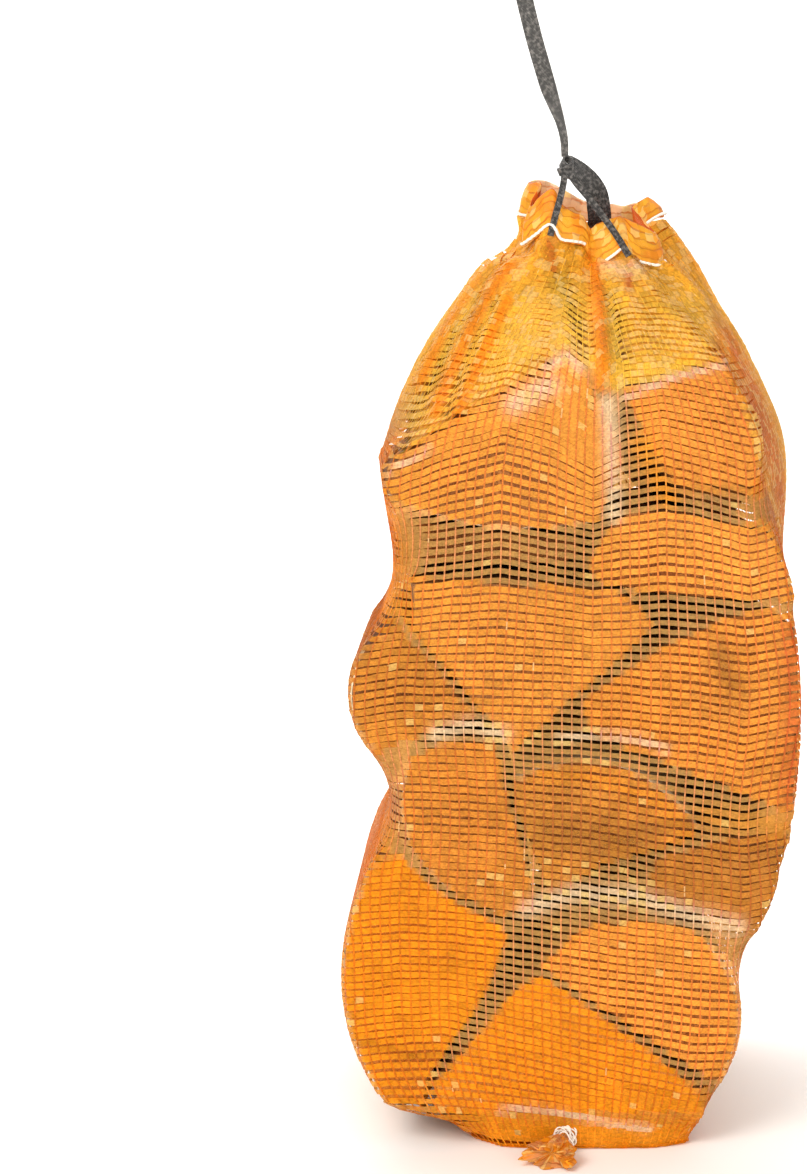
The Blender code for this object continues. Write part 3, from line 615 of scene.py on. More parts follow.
def film(name, cover, roughness, pale):
    """Polyethylene film slit into tapes and woven: satin, see-through, drawn in fine lines.

    The attribute "tone" is the colour that it takes on from what lies close behind it,
    "cell" counts the squares between the warps, and "glint" is the share of squares
    painted pale as a highlight.
    """
    finish, tree = material(name)
    where = node(tree, "ShaderNodeTexCoord").outputs["Object"]
    cell = node(tree, "ShaderNodeAttribute", {"attribute_name": "cell"}).outputs["Vector"]
    glint = node(tree, "ShaderNodeAttribute", {"attribute_name": "glint"}).outputs["Fac"]
    luck, shaded = shaded_squares(tree, cell, 0.88, 1.09)
    # Painted highlight: some squares are painted pale
    shines = node(tree, "ShaderNodeMath", {"operation": "LESS_THAN"}, {0: luck[1], 1: glint})
    share = node(tree, "ShaderNodeMath", {"operation": "MULTIPLY"}, {0: shines.outputs[0], 1: 0.65})
    shone = node(tree, "ShaderNodeMix", {"data_type": "RGBA"}, {
        0: share.outputs[0], 6: shaded, 7: linear(pale)})
    # The drawn film frays into fibres, really 0.3 mm apart, here 1 to 2 mm so that they show
    lines = node(tree, "ShaderNodeTexNoise", links={
        "Vector": node(tree, "ShaderNodeMapping", links={
            "Vector": where, "Scale": (560.0, 560.0, 820.0)}).outputs[0],
        "Scale": 1.0, "Detail": 3.0, "Roughness": 0.7})
    streak = node(tree, "ShaderNodeMapRange", links={
        "Value": lines.outputs["Fac"], "From Min": 0.36, "From Max": 0.64, "To Min": 0.74,
        "To Max": 1.16})
    # Painted shade: a darker line beside each warp, where it pinches the tape, deepest where the
    # net hangs slack
    across = node(tree, "ShaderNodeSeparateXYZ", links={"Vector": cell})
    from_warp = node(tree, "ShaderNodeMath", {"operation": "PINGPONG"},
                     {0: across.outputs[0], 1: 0.5})
    warp_shade_floor = node(tree, "ShaderNodeMath", {"operation": "MULTIPLY_ADD"},
                 {0: glint, 1: -0.38, 2: 0.93})
    warp_shade = node(tree, "ShaderNodeMapRange", links={
        "Value": from_warp.outputs[0], "From Min": 0.06, "From Max": 0.22,
        "To Min": warp_shade_floor.outputs[0]})
    dimmed = node(tree, "ShaderNodeMath", {"operation": "MULTIPLY"},
                  {0: streak.outputs[0], 1: warp_shade.outputs[0]})
    colour = node(tree, "ShaderNodeVectorMath", {"operation": "SCALE"},
                  {"Vector": shone.outputs[2], "Scale": dimmed.outputs[0]}).outputs[0]
    drawn = node(tree, "ShaderNodeBump", links={
        "Height": lines.outputs["Fac"], "Distance": 0.25 * MM, "Strength": 0.6})
    see_through(tree, colour, drawn, roughness, cover, 0.2, "#ffe2ae")
    return finish


def woven_film(name, cover, roughness, pale, gap):
    """The same net folded close, where layers lie on layers: squares, rows and warp lines.

    The weave is drawn by the attribute "cell", one unit a square, at the net's own pitch.
    """
    finish, tree = material(name)
    cell = node(tree, "ShaderNodeAttribute", {"attribute_name": "cell"}).outputs["Vector"]
    where = node(tree, "ShaderNodeTexCoord").outputs["Object"]
    # The layers are a little crumpled, so the squares don't lie in straight rows
    crumple = node(tree, "ShaderNodeTexNoise", links={
        "Vector": where, "Scale": 170.0, "Detail": 1.0})
    pushed = node(tree, "ShaderNodeVectorMath", {"operation": "MULTIPLY_ADD"}, {
        0: crumple.outputs["Color"], 1: (0.9, 0.9, 0.0), 2: cell})
    within = node(tree, "ShaderNodeVectorMath", {"operation": "FRACTION"}, {0: pushed.outputs[0]})
    spot = node(tree, "ShaderNodeSeparateXYZ", links={"Vector": within.outputs[0]})
    luck, shaded = shaded_squares(tree, pushed.outputs[0], 0.8, 1.12)
    # Painted highlight: some squares are painted pale
    shines = node(tree, "ShaderNodeMapRange", links={
        "Value": luck[1], "From Min": 0.76, "From Max": 0.8, "To Max": 0.6})
    squares = node(tree, "ShaderNodeMix", {"data_type": "RGBA"}, {
        0: shines.outputs[0], 6: shaded, 7: linear(pale)})
    # Painted shade: darker dashes between the rows, in some squares
    row_gap = node(tree, "ShaderNodeMapRange", links={
        "Value": spot.outputs[1], "From Min": 0.72, "From Max": 0.82, "To Max": 0.75})
    some = node(tree, "ShaderNodeMath", {"operation": "MULTIPLY"},
                {0: row_gap.outputs[0], 1: luck[2]})
    colour = node(tree, "ShaderNodeMix", {"data_type": "RGBA"}, {
        0: some.outputs[0], 6: squares.outputs[2], 7: linear(gap)}).outputs[2]
    relief = node(tree, "ShaderNodeMath", {"operation": "SUBTRACT"},
                  {0: crumple.outputs["Fac"], 1: row_gap.outputs[0]})
    creased = node(tree, "ShaderNodeBump", links={
        "Height": relief.outputs[0], "Distance": 1.2 * MM, "Strength": 0.8})
    see_through(tree, colour, creased, roughness, cover, 0.3, "#ffd590")
    return finish


def sawn_wood(name, light, dark, pore, roughness):
    """Wood sawn across the grain: growth rings, saw marks, stains and pores."""
    finish, tree = material(name)
    where = node(tree, "ShaderNodeTexCoord").outputs["Object"]
    pith = node(tree, "ShaderNodeAttribute", {"attribute_name": "pith"}).outputs["Vector"]
    lightness = node(tree, "ShaderNodeAttribute", {"attribute_name": "lightness"}).outputs["Fac"]
    # Growth rings about 3 mm wide
    rings = node(tree, "ShaderNodeTexWave", {
        "wave_type": "RINGS", "rings_direction": "SPHERICAL"}, {
        "Vector": pith, "Scale": 52.0, "Distortion": 2.5, "Detail": 2.0, "Detail Scale": 1.4})
    # Saw marks about 4 mm apart, a little aslant
    marks = node(tree, "ShaderNodeTexWave", {"wave_type": "BANDS", "bands_direction": "DIAGONAL"}, {
        "Vector": where, "Scale": 38.0, "Distortion": 6.0, "Detail": 3.0, "Detail Scale": 2.5})
    grit = node(tree, "ShaderNodeTexNoise", links={"Vector": where, "Scale": 900.0, "Detail": 3.0})
    stain = node(tree, "ShaderNodeTexNoise", links={"Vector": where, "Scale": 24.0, "Detail": 4.0,
                                                    "Roughness": 0.6})
    ring_tone = node(tree, "ShaderNodeMix", {"data_type": "RGBA"}, {
        0: rings.outputs["Fac"], 6: linear(light), 7: linear(dark)})
    stain_share = node(tree, "ShaderNodeMapRange", links={
        "Value": stain.outputs["Fac"], "From Min": 0.38, "From Max": 0.68})
    stained = node(tree, "ShaderNodeMix", {"data_type": "RGBA"}, {
        0: stain_share.outputs[0], 6: ring_tone.outputs[2], 7: linear(dark)})
    pores = node(tree, "ShaderNodeMapRange", links={
        "Value": grit.outputs["Fac"], "From Min": 0.56, "From Max": 0.72})
    pored = node(tree, "ShaderNodeMix", {"data_type": "RGBA"}, {
        0: pores.outputs[0], 6: stained.outputs[2], 7: linear(pore)})
    lit = node(tree, "ShaderNodeVectorMath", {"operation": "SCALE"},
               {"Vector": pored.outputs[2], "Scale": lightness})
    height = node(tree, "ShaderNodeMath", {"operation": "MULTIPLY_ADD"}, {
        0: marks.outputs["Fac"], 1: 0.6, 2: grit.outputs["Fac"]})
    solid_surface(tree, lit.outputs[0], roughness, height.outputs[0], 0.8)
    return finish


def split_wood(name, light, dark, roughness):
    """Wood torn along the grain by the splitter: long fibres and darker streaks."""
    finish, tree = material(name)
    where = node(tree, "ShaderNodeTexCoord").outputs["Object"]
    lightness = node(tree, "ShaderNodeAttribute", {"attribute_name": "lightness"}).outputs["Fac"]
    grain = node(tree, "ShaderNodeTexNoise", links={
        "Vector": node(tree, "ShaderNodeMapping", links={
            "Vector": where, "Scale": (420.0, 14.0, 420.0)}).outputs[0],
        "Scale": 1.0, "Detail": 4.0, "Roughness": 0.6})
    share = node(tree, "ShaderNodeMapRange", links={
        "Value": grain.outputs["Fac"], "From Min": 0.3, "From Max": 0.7})
    tone = node(tree, "ShaderNodeMix", {"data_type": "RGBA"}, {
        0: share.outputs[0], 6: linear(light), 7: linear(dark)})
    lit = node(tree, "ShaderNodeVectorMath", {"operation": "SCALE"},
               {"Vector": tone.outputs[2], "Scale": lightness})
    solid_surface(tree, lit.outputs[0], roughness, grain.outputs["Fac"], 1.0)
    return finish


def tree_bark(name, pale, grey, dark, roughness):
    """Thin young bark: pale and grey patches, dark cross slits, dull."""
    finish, tree = material(name)
    where = node(tree, "ShaderNodeTexCoord").outputs["Object"]
    patches = node(tree, "ShaderNodeTexNoise", links={
        "Vector": where, "Scale": 45.0, "Detail": 5.0, "Roughness": 0.65})
    share = node(tree, "ShaderNodeMapRange", links={
        "Value": patches.outputs["Fac"], "From Min": 0.42, "From Max": 0.62})
    tone = node(tree, "ShaderNodeMix", {"data_type": "RGBA"}, {
        0: share.outputs[0], 6: linear(pale), 7: linear(grey)})
    # Slits 5 to 15 mm long round the stem, a millimetre high
    slits = node(tree, "ShaderNodeTexNoise", links={
        "Vector": node(tree, "ShaderNodeMapping", links={
            "Vector": where, "Scale": (70.0, 700.0, 70.0)}).outputs[0],
        "Scale": 1.0, "Detail": 2.0})
    slit_share = node(tree, "ShaderNodeMapRange", links={
        "Value": slits.outputs["Fac"], "From Min": 0.62, "From Max": 0.7})
    marked = node(tree, "ShaderNodeMix", {"data_type": "RGBA"}, {
        0: slit_share.outputs[0], 6: tone.outputs[2], 7: linear(dark)})
    solid_surface(tree, marked.outputs[2], roughness, patches.outputs["Fac"], 1.5)
    return finish


def woven_tape(name, dark, pale, roughness, fleck_scale):
    """Drawstring of black polyester, woven flat: a fine rib across, with pale flecks of painted
    highlight.
    """
    finish, tree = material(name)
    where = node(tree, "ShaderNodeTexCoord").outputs["Object"]
    # Ribs 0.9 mm apart, coarser than the real weave so that they show
    ribs = node(tree, "ShaderNodeTexWave", {"wave_type": "BANDS", "bands_direction": "DIAGONAL"}, {
        "Vector": where, "Scale": 300.0, "Distortion": 1.5, "Detail": 1.0})
    # Pale flecks of painted highlight on the weave
    highlight_flecks = node(tree, "ShaderNodeTexNoise", links={"Vector": where, "Scale": fleck_scale, "Detail": 3.0})
    highlight_share = node(tree, "ShaderNodeMapRange", links={
        "Value": highlight_flecks.outputs["Fac"], "From Min": 0.45, "From Max": 0.72})
    tone = node(tree, "ShaderNodeMix", {"data_type": "RGBA"}, {
        0: highlight_share.outputs[0], 6: linear(dark), 7: linear(pale)})
    solid_surface(tree, tone.outputs[2], roughness, ribs.outputs["Fac"], 0.35, sheen=0.3)
    return finish


def spun_thread(name, colour, roughness):
    """White sewing thread, loosely spun and fuzzy."""
    finish, tree = material(name)
    where = node(tree, "ShaderNodeTexCoord").outputs["Object"]
    strands = node(tree, "ShaderNodeTexNoise", links={"Vector": where, "Scale": 1500.0})
    tone = node(tree, "ShaderNodeMix", {"data_type": "RGBA"}, {
        0: strands.outputs["Fac"], 6: linear(colour[0]), 7: linear(colour[1])})
    solid_surface(tree, tone.outputs[2], roughness, strands.outputs["Fac"], 0.3, sheen=0.4)
    return finish


NET_FILM = film("orange_polyethylene_tape", 0.5, 0.4, "#ffe48c")
WARP_FILM = film("orange_polyethylene_warp", 0.6, 0.45, "#ffe6a4")
FOLDED_FILM = woven_film("folded_polyethylene_net", 0.9, 0.4, "#ffe48c", "#d06c14")
SLACK_FILM = woven_film("slack_polyethylene_net", 0.6, 0.45, "#ffe890", "#cc7c1c")
SAWN = {
    "alder": sawn_wood("sawn_alder", "#ae7638", "#86501e", "#4e2c0e", 0.75),
    "rough": sawn_wood("rough_sawn_alder", "#b67c38", "#88521c", "#482708", 0.85),
    "red_alder": sawn_wood("sawn_red_alder", "#d08a20", "#bc7216", "#8c500e", 0.6),
}
SPLIT = split_wood("split_alder", "#8c5c2a", "#5a3614", 0.8)
BARK = tree_bark("pale_young_bark", "#e2d2b2", "#a88c66", "#4b3424", 0.85)
# Two copies of one tape: painted lighter for the tail in the light, in painted shade for legs,
# strap and knots
LIT_BLACK_TAPE = woven_tape("black_polyester_painted_lit", "#343231", "#7e7a76", 0.55, 420.0)
SHADED_BLACK_TAPE = woven_tape("black_polyester_painted_shade", "#141212", "#6e6a67", 0.6, 520.0)
WHITE_THREAD = spun_thread("white_cotton_thread", ("#f8f4ec", "#ddd4c6"), 0.9)

# The tone that the film takes on from what lies close behind it
FILM_TONES = {name: np.array(linear(colour)[:3]) for name, colour in {
    "gap": "#cca25a", "gap_warp": "#e8a066", "cone": "#ffd84c", "fold": "#ffae20",
    "ridge": "#ff9e16",
    "alder": "#feb848", "rough": "#feb444", "red_alder": "#ffb016", "split": "#f4ac40",
    "bark": "#f4c276", "pale": "#ffecc8", "red_shade": "#e27a32", "mouth": "#d8601a",
    "hem": "#ffba32", "blush": "#ff9420", "tuft": "#e2a266"}.items()}


# The taut end of the drawstring

def string_tape(name, route, width, count, finish, crumpled=(1.0, 1.0)):
    """Flat woven tape along a route, drawn together to a share of its width where it starts."""
    spots = curve_through([spot for spot, _ in route], count)
    facing = unit(curve_through([way for _, way in route], count))
    spread = np.interp(np.linspace(0.0, 1.0, count), (0.0, 0.2, 0.5, 1.0),
                       (crumpled[0], crumpled[1], 1.0, 1.0))
    mesh = sweep(name, spots[None], facing[None], width, STRING_THICKNESS, finish,
                 girths=spread[None])
    return mesh, spots


tail_mesh, tail_line = string_tape("drawstring_tail_tape", TAIL, STRING_WIDTH, 60, LIT_BLACK_TAPE,
                                   (0.42, 0.6))
tail = show("drawstring_tail_tape", tail_mesh, ["drawstring_tail"])


def knot_mesh(name, centre, size):
    """A pulled-tight overhand knot: tape wound twice round itself."""
    turns = 2.2
    count = 90
    t = np.linspace(0.0, 1.0, count)
    angle = 2.0 * math.pi * turns * t
    lean = 0.9 * np.sin(angle * 0.5 + 0.4)
    spots = np.stack([size * (0.62 * np.cos(angle) + 0.2 * lean),
                      0.5 * size * np.sin(angle) * (1.0 - 0.2 * t),
                      size * (0.62 * np.sin(angle * 0.5 + 0.6) + 0.25 * np.sin(angle))], axis=1)
    facing = unit(spots * (1.0, 1.6, 0.6) + 1e-3)
    return sweep(name, (np.array(centre) + spots)[None], facing[None], 5.0, 1.3, SHADED_BLACK_TAPE)


end_knot = show("drawstring_end_knot_tape", knot_mesh("end_knot", END_KNOT, 5.5),
                ["drawstring_end_knot"])


# Floor and light

def floor_and_light():
    """A pale floor that curves up into a backdrop, and large soft lights."""
    radius = 0.9
    depth = 2.6
    profile = [(-4.0, 0.0), (depth, 0.0)]
    for i in range(1, 13):
        a = math.pi / 2 * i / 12
        profile.append((depth + radius * math.sin(a), radius - radius * math.cos(a)))
    profile.append((depth + radius, 4.5))
    verts = [(x, y, z) for y, z in profile for x in (-5.0, 5.0)]
    faces = [(2 * i, 2 * i + 1, 2 * i + 3, 2 * i + 2) for i in range(len(profile) - 1)]
    mesh = new_mesh("floor", verts, faces)
    mesh.shade_smooth()
    finish, tree = material("pale_studio_paper")
    surface = node(tree, "ShaderNodeBsdfPrincipled", links={
        "Base Color": linear("#f7f6f4"), "Roughness": 0.9, "Specular IOR Level": 0.1})
    finish_surface(tree, surface.outputs[0])
    mesh.materials.append(finish)
    floor = bpy.data.objects.new("floor", mesh)
    scene.collection.objects.link(floor)
    for name, spot, target, size, power, colour in (
            ("key_light", (-1.3, -1.7, 1.7), (0.0, 0.0, 0.3), 1.3, 46.0, "#fffaf2"),
            ("fill_light", (0.85, -2.3, 0.4), (0.0, 0.0, 0.2), 1.2, 31.0, "#fff8ee"),
            ("back_light", (-0.3, 1.5, 1.9), (0.0, 0.0, 0.45), 1.8, 16.0, "#ffffff"),
            ("wall_light", (0.0, 1.2, 2.6), (0.0, 3.4, 0.9), 3.0, 95.0, "#ffffff")):
        data = bpy.data.lights.new(name, "AREA")
        data.size = size
        data.energy = power
        data.color = linear(colour)[:3]
        light = bpy.data.objects.new(name, data)
        light.location = spot
        light.rotation_euler = (Vector(target) - Vector(spot)).to_track_quat("-Z", "Y").to_euler()
        scene.collection.objects.link(light)
    world = bpy.data.worlds.new("soft_room")
    world.use_nodes = True
    sky = world.node_tree.nodes["Background"]
    sky.inputs["Color"].default_value = linear("#ffffff")
    sky.inputs["Strength"].default_value = 0.6
    scene.world = world
    scene.view_settings.view_transform = "Standard"


floor_and_light()


# Logs

def side_points(start, end, bulge, step):
    """Points from start up to end, leaving end out: straight, or an arc that bulges out."""
    a = np.array(start, float)
    chord = np.array(end, float) - a
    length = float(np.hypot(*chord))
    count = max(3, math.ceil(length / step))
    t = (np.arange(count) / count)[:, None]
    outward = np.array([chord[1], -chord[0]]) / length
    return a + chord * t + outward * bulge * 4.0 * t * (1.0 - t)


def section(corners, step):
    """Outline of a split log, counter-clockwise from the front, and where it is bark."""
    area = sum(p[0] * q[1] - q[0] * p[1] for p, q in zip(corners, corners[1:] + corners[:1]))
    ordered = list(corners)
    if area < 0:
        flipped = [(x, z) for x, z, _ in reversed(corners)]
        bulges = [bulge for _, _, bulge in reversed(corners)]
        ordered = [(*p, bulges[(i + 1) % len(bulges)]) for i, p in enumerate(flipped)]
    points = []
    bark = []
    for p, q in zip(ordered, ordered[1:] + ordered[:1]):
        side = side_points(p[:2], q[:2], p[2], step)
        points.append(side)
        bark += [float(p[2] > BARK_BULGE)] * len(side)
    return np.concatenate(points), np.array(bark)


def log_ring(spec, outline, along, inset):
    """The outline as it is some way along the log, drawn in by inset at each point."""
    middle = outline.mean(axis=0)
    lowest = float(outline[:, 1].min())
    share = along / LOG_LENGTH
    narrow = 1.0 - STACK_TAPER * share
    offset = outline - middle
    reach = np.hypot(offset[:, 0], offset[:, 1])
    ring = middle + offset * (1.0 - (inset + TAPER * share * reach) / reach)[:, None]
    if "cut" in spec:
        axed = max(0.0, 1.0 - along / AXE_DEPTH) * (spec["cut"] - lowest)
        ring[:, 1] = np.maximum(ring[:, 1], lowest + axed)
    x = ring[:, 0] * narrow + spec["splay"] * share
    z = LOG_FLOOR + (ring[:, 1] - LOG_FLOOR) * narrow
    y = np.full(len(x), FRONT + spec["set"] + along)
    return np.stack([x, y, z], axis=1)


wood_points = []
wood_faces = []
wood_tones = []


def sawn_end(ring, inward, seed):
    """Rings of points across a sawn end, with saw marks, from its edge to its middle."""
    heart = ring.mean(axis=0)
    caps = []
    for k in range(1, SAWN_RINGS):
        spot = heart + (ring - heart) * (1.0 - k / SAWN_RINGS)
        rough = (0.35 * soft_noise(spot / 3.2, seed + 5) + 0.5 * soft_noise(spot / 17.0, seed + 6)
                 + 0.12 * np.sin((spot[:, 0] * 0.35 + spot[:, 2]) * 1.6))
        spot[:, 1] += inward * (0.75 + rough) * min(1.0, 2.5 * k / SAWN_RINGS)
        caps.append(spot)
    return caps


def pith_of(corners, middle):
    """The middle of the growth rings: the corner opposite the bark, or outside the log."""
    bark_sides = [(p, q) for p, q in zip(corners, corners[1:] + corners[:1])
                  if p[2] > BARK_BULGE]
    if not bark_sides:
        return middle + np.array(PITH_OUTSIDE)
    p, q = max(bark_sides, key=lambda pair: pair[0][2])
    rim = 0.5 * (np.array(p[:2], float) + np.array(q[:2], float))
    far = max(corners, key=lambda c: math.hypot(c[0] - rim[0], c[1] - rim[1]))
    return np.array(far[:2], float)


def build_log(name, spec, seed):
    """One log: torn split sides, ridged bark, sawn ends with saw marks and chipped edges."""
    outline, bark = section(spec["corners"], OUTLINE_STEP)
    count = len(outline)
    length = spec.get("length", LOG_LENGTH)
    near_end = np.array(END_STATIONS)
    stations = np.concatenate([near_end, np.arange(7.0, length - 6.0, STATION_STEP),
                               length - near_end[::-1]])
    soft_bark = evened(bark, 2)
    rings = []
    for along in stations:
        spot = np.stack([outline[:, 0], np.full(count, along), outline[:, 1]], axis=1)
        torn = (0.5 + 0.8 * soft_noise(spot / (9.0, 75.0, 9.0), seed)
                + 0.45 * soft_noise(spot / (2.6, 40.0, 2.6), seed + 1))
        ridged = (1.1 + 1.0 * np.abs(soft_noise(spot / (6.0, 16.0, 6.0), seed + 2)) * -1.0
                  + 0.6 * soft_noise(spot / (20.0, 40.0, 20.0), seed + 3))
        inset = torn * (1.0 - soft_bark) + ridged * soft_bark
        end = min(along, length - along)
        worn = max(0.0, 1.0 - end / END_BREAK) ** 2
        chip = np.maximum(soft_noise(spot / (11.0, 400.0, 11.0), seed + 4) - 0.35, 0.0)
        inset = inset + END_INSET * worn + CHIP_DEPTH * chip * max(0.0, 1.0 - end / CHIP_REACH)
        rings.append(log_ring(spec, outline, along, np.maximum(inset, 0.0)))
    sides = np.array(rings)
    caps = np.array(sawn_end(sides[0], 1.0, seed) + sawn_end(sides[-1], -1.0, seed))
    side_rows = len(stations)
    verts = np.concatenate([sides.reshape(-1, 3), caps.reshape(-1, 3),
                            caps[SAWN_RINGS - 2].mean(axis=0)[None],
                            caps[-1].mean(axis=0)[None]])
    around = np.arange(count)
    after = (around + 1) % count

    def band(upper, lower):
        return np.stack([upper + around, upper + after, lower + after, lower + around], axis=1)

    quads = [band(r * count, (r + 1) * count) for r in range(side_rows - 1)]
    base = side_rows * count
    cap_rows = SAWN_RINGS - 1
    front = [0] + [base + k * count for k in range(cap_rows)]
    back_start = base + cap_rows * count
    rear = [(side_rows - 1) * count] + [back_start + k * count for k in range(cap_rows)]
    ends = [band(b, a) for a, b in zip(front, front[1:])]
    ends += [band(a, b) for a, b in zip(rear, rear[1:])]
    tips = [(int(front[-1] + b), int(front[-1] + a), len(verts) - 2)
            for a, b in zip(around, after)]
    tips += [(int(rear[-1] + a), int(rear[-1] + b), len(verts) - 1)
             for a, b in zip(around, after)]
    faces = np.concatenate(quads + ends).tolist() + tips
    mesh = new_mesh(name, place(verts), faces)
    bark_index = np.tile(bark, side_rows - 1).astype(int)
    slots = np.full(len(faces), 0, int)
    slots[:len(bark_index)] = 1 + bark_index
    kind, light = spec["wood"]
    for finish in (SAWN[kind], SPLIT, BARK):
        mesh.materials.append(finish)
    mesh.polygons.foreach_set("material_index", slots)
    store(mesh, "lightness", np.full(len(verts), light))
    wood_faces.extend([[len(wood_points) + i for i in face] for face in faces])
    wood_points.extend(map(tuple, verts))
    behind = np.array([FILM_TONES[kind], FILM_TONES["split"], FILM_TONES["bark"]])
    wood_tones.extend(behind[slots] * light ** np.array((0.9, 1.15, 1.3)))
    pith = pith_of(spec["corners"], outline.mean(axis=0))
    relative = (verts - (pith[0], 0.0, pith[1])) * (1.0, 0.15, 1.0) * MM
    store(mesh, "pith", relative, "FLOAT_VECTOR")
    mesh.shade_smooth()
    mesh.set_sharp_from_angle(angle=SHARP_EDGE)
    return show(name + "_wood", mesh, [name])


for index, (log_name, log_spec) in enumerate(LOGS.items()):
    build_log(log_name, log_spec, 40 + 10 * index)


# Net

def hull(points):
    """Convex outline of points in plan, counter-clockwise."""
    ordered = sorted({(round(float(x), 3), round(float(y), 3)) for x, y in points})

    def half(sequence):
        chain = []
        for p in sequence:
            while len(chain) > 1 and ((chain[-1][0] - chain[-2][0]) * (p[1] - chain[-2][1])
                                      - (chain[-1][1] - chain[-2][1]) * (p[0] - chain[-2][0])) <= 0:
                chain.pop()
            chain.append(p)
        return chain[:-1]

    return np.array(half(ordered) + half(reversed(ordered)))


def held_points():
    """Points of the logs, and of the sag in front of them, that the net goes round."""
    found = []
    for spec in LOGS.values():
        outline, _ = section(spec["corners"], OUTLINE_STEP)
        length = spec.get("length", LOG_LENGTH)
        places = [(0.0, END_INSET), (END_BREAK, 0.0), (0.5 * length, 0.0),
                  (length - END_BREAK, 0.0), (length, END_INSET)]
        if "cut" in spec:
            places += [(AXE_DEPTH * k / 6, 0.0) for k in range(1, 7)]
        for along, inset in places:
            found.append(log_ring(spec, outline, along, np.full(len(outline), inset)))
    sag = np.array(SAG)
    for height in np.arange(0.0, SAG_TOP, 3.0):
        found.append(np.maximum(sag, (-np.inf, -np.inf, height)))
    return np.concatenate(found)


def layer_outline(points, height, reach, margin, cone):
    """Outline in plan of what holds the net out near a height, and of the slack bag."""
    near = points[np.abs(points[:, 2] - height) <= reach][:, :2]
    circle = turn_round(12)
    spread = [near + margin * np.array([math.cos(a), math.sin(a)]) for a in circle]
    if cone and height >= CONE_START:
        table = np.array(CONE)
        left, right, depth = [np.interp(height, table[:, 0], table[:, i]) for i in (1, 2, 3)]
        a = turn_round(96)
        lean = NECK_Y * smooth(CONE_START, TOP_LAYER, height)
        spread.append(np.stack([0.5 * (left + right) + 0.5 * (right - left) * np.cos(a),
                                lean + depth * np.sin(a)], axis=1))
    return hull(np.concatenate(spread))


def columns_on(outline):
    """The bag's columns on an outline, evenly spaced from the front middle."""
    nxt = np.roll(outline, -1, axis=0)
    start = None
    for i, (p, q) in enumerate(zip(outline, nxt)):
        if p[0] <= FRONT_MIDDLE < q[0] and p[1] < 20.0:
            f = (FRONT_MIDDLE - p[0]) / (q[0] - p[0])
            start = (i, p + (q - p) * f)
            break
    i, first = start
    ring = np.concatenate([[first], np.roll(outline, -(i + 1), axis=0), [first]])
    run = np.concatenate([[0.0], np.cumsum(np.hypot(*np.diff(ring, axis=0).T))])
    at = run[-1] * np.arange(COLUMNS) / COLUMNS
    return np.stack([np.interp(at, run, ring[:, k]) for k in (0, 1)], axis=1)


def bag_layers():
    """The bag's surface as layers of columns, from its base up to the cone's top."""
    points = held_points()
    heights = np.arange(1.0, TOP_LAYER + LAYER_STEP, LAYER_STEP)
    rows = []
    holds = []
    for height in heights:
        rows.append(columns_on(layer_outline(points, height, REACH, NET_MARGIN, True)))
        near = np.abs(points[:, 2] - height) <= LAYER_HOLD
        if near.sum() > 3:
            holds.append(layer_outline(points, height, LAYER_HOLD, LAYER_MARGIN, False))
        else:
            holds.append(None)
    plan = np.array(rows)
    sides = []
    for outline in holds:
        if outline is None:
            sides.append(None)
            continue
        edge = np.roll(outline, -1, axis=0) - outline
        normal = np.stack([edge[:, 1], -edge[:, 0]], axis=1)
        normal /= np.linalg.norm(normal, axis=1)[:, None]
        sides.append((normal, (normal * outline).sum(axis=1)))
    for _ in range(RELAX_PASSES):
        round_avg = 0.5 * (np.roll(plan, 1, axis=1) + np.roll(plan, -1, axis=1))
        up = np.concatenate([plan[1:], plan[-1:]])
        down = np.concatenate([plan[:1], plan[:-1]])
        plan[1:-1] = (0.5 * plan + 0.2 * round_avg + 0.15 * (up + down))[1:-1]
        for k, side in enumerate(sides):
            if side is None:
                continue
            normal, level = side
            depth = plan[k] @ normal.T - level
            nearest = depth.argmax(axis=1)
            short = np.minimum(depth[np.arange(COLUMNS), nearest], 0.0)
            plan[k] -= normal[nearest] * short[:, None]
    z = np.broadcast_to(heights[:, None, None], (*plan.shape[:2], 1))
    return heights, np.concatenate([plan, z], axis=2)


def bow_at(x, height):
    """How much higher than at the front middle a tape runs."""
    table = np.array(BOW)
    levels = [np.interp(x, BOW_X, row[1:]) for row in table]
    k = np.clip(np.searchsorted(table[:, 0], height) - 1, 0, len(table) - 2)
    share = smooth(table[k, 0], table[k + 1, 0], height)
    return levels[k] * (1.0 - share) + levels[k + 1] * share


heights, surface = bag_layers()
seam_places = np.interp(np.arange(COLUMNS), SEAM_SPREAD[1], SEAM_SPREAD[0])
seam = curve_through(SEAM, COLUMNS, closed=True, at_points=seam_places)
edge = curve_through(EDGE, COLUMNS, closed=True, at_points=seam_places)


def between_columns(values, k, f):
    """Values round the bag, a share f of the way from column k to the next."""
    return values[k] * (1.0 - f) + values[(k + 1) % COLUMNS] * f


def between_rows(grid, k, f):
    """Values of a grid, one a column, a share f of the way from row k to the next."""
    c = np.arange(COLUMNS)
    return grid[k, c] * (1.0 - f) + grid[k + 1, c] * f


def at_height(height):
    """Points of the bag's surface, one a column, each at its own height."""
    place_in = np.clip((height - heights[0]) / LAYER_STEP, 0.0, len(heights) - 1.001)
    k = place_in.astype(int)
    f = (place_in - k)[:, None]
    return between_rows(surface, k, f)


def net_path(height):
    """One tape's line round the bag: bowed at the front, drawn into folds at the neck."""
    flat = at_height(np.full(COLUMNS, height))
    front = smooth(*BOW_SIDE, flat[:, 1]) if height < TOP_LAYER else np.zeros(COLUMNS)
    bow = bow_at(flat[:, 0], height) * front
    path = at_height(height + bow)
    gathered = smooth(FOLD_START, SEAM_LEVEL, np.full(COLUMNS, height)) ** 1.5
    path = path * (1.0 - gathered[:, None]) + seam * gathered[:, None]
    low, full, last, high = NECK_PULLED
    path[:, 0] += (NECK_PULL * smooth(low, full, path[:, 2]) * smooth(high, last, path[:, 2])
                   * smooth(*NECK_SIDE, path[:, 0]))
    return path


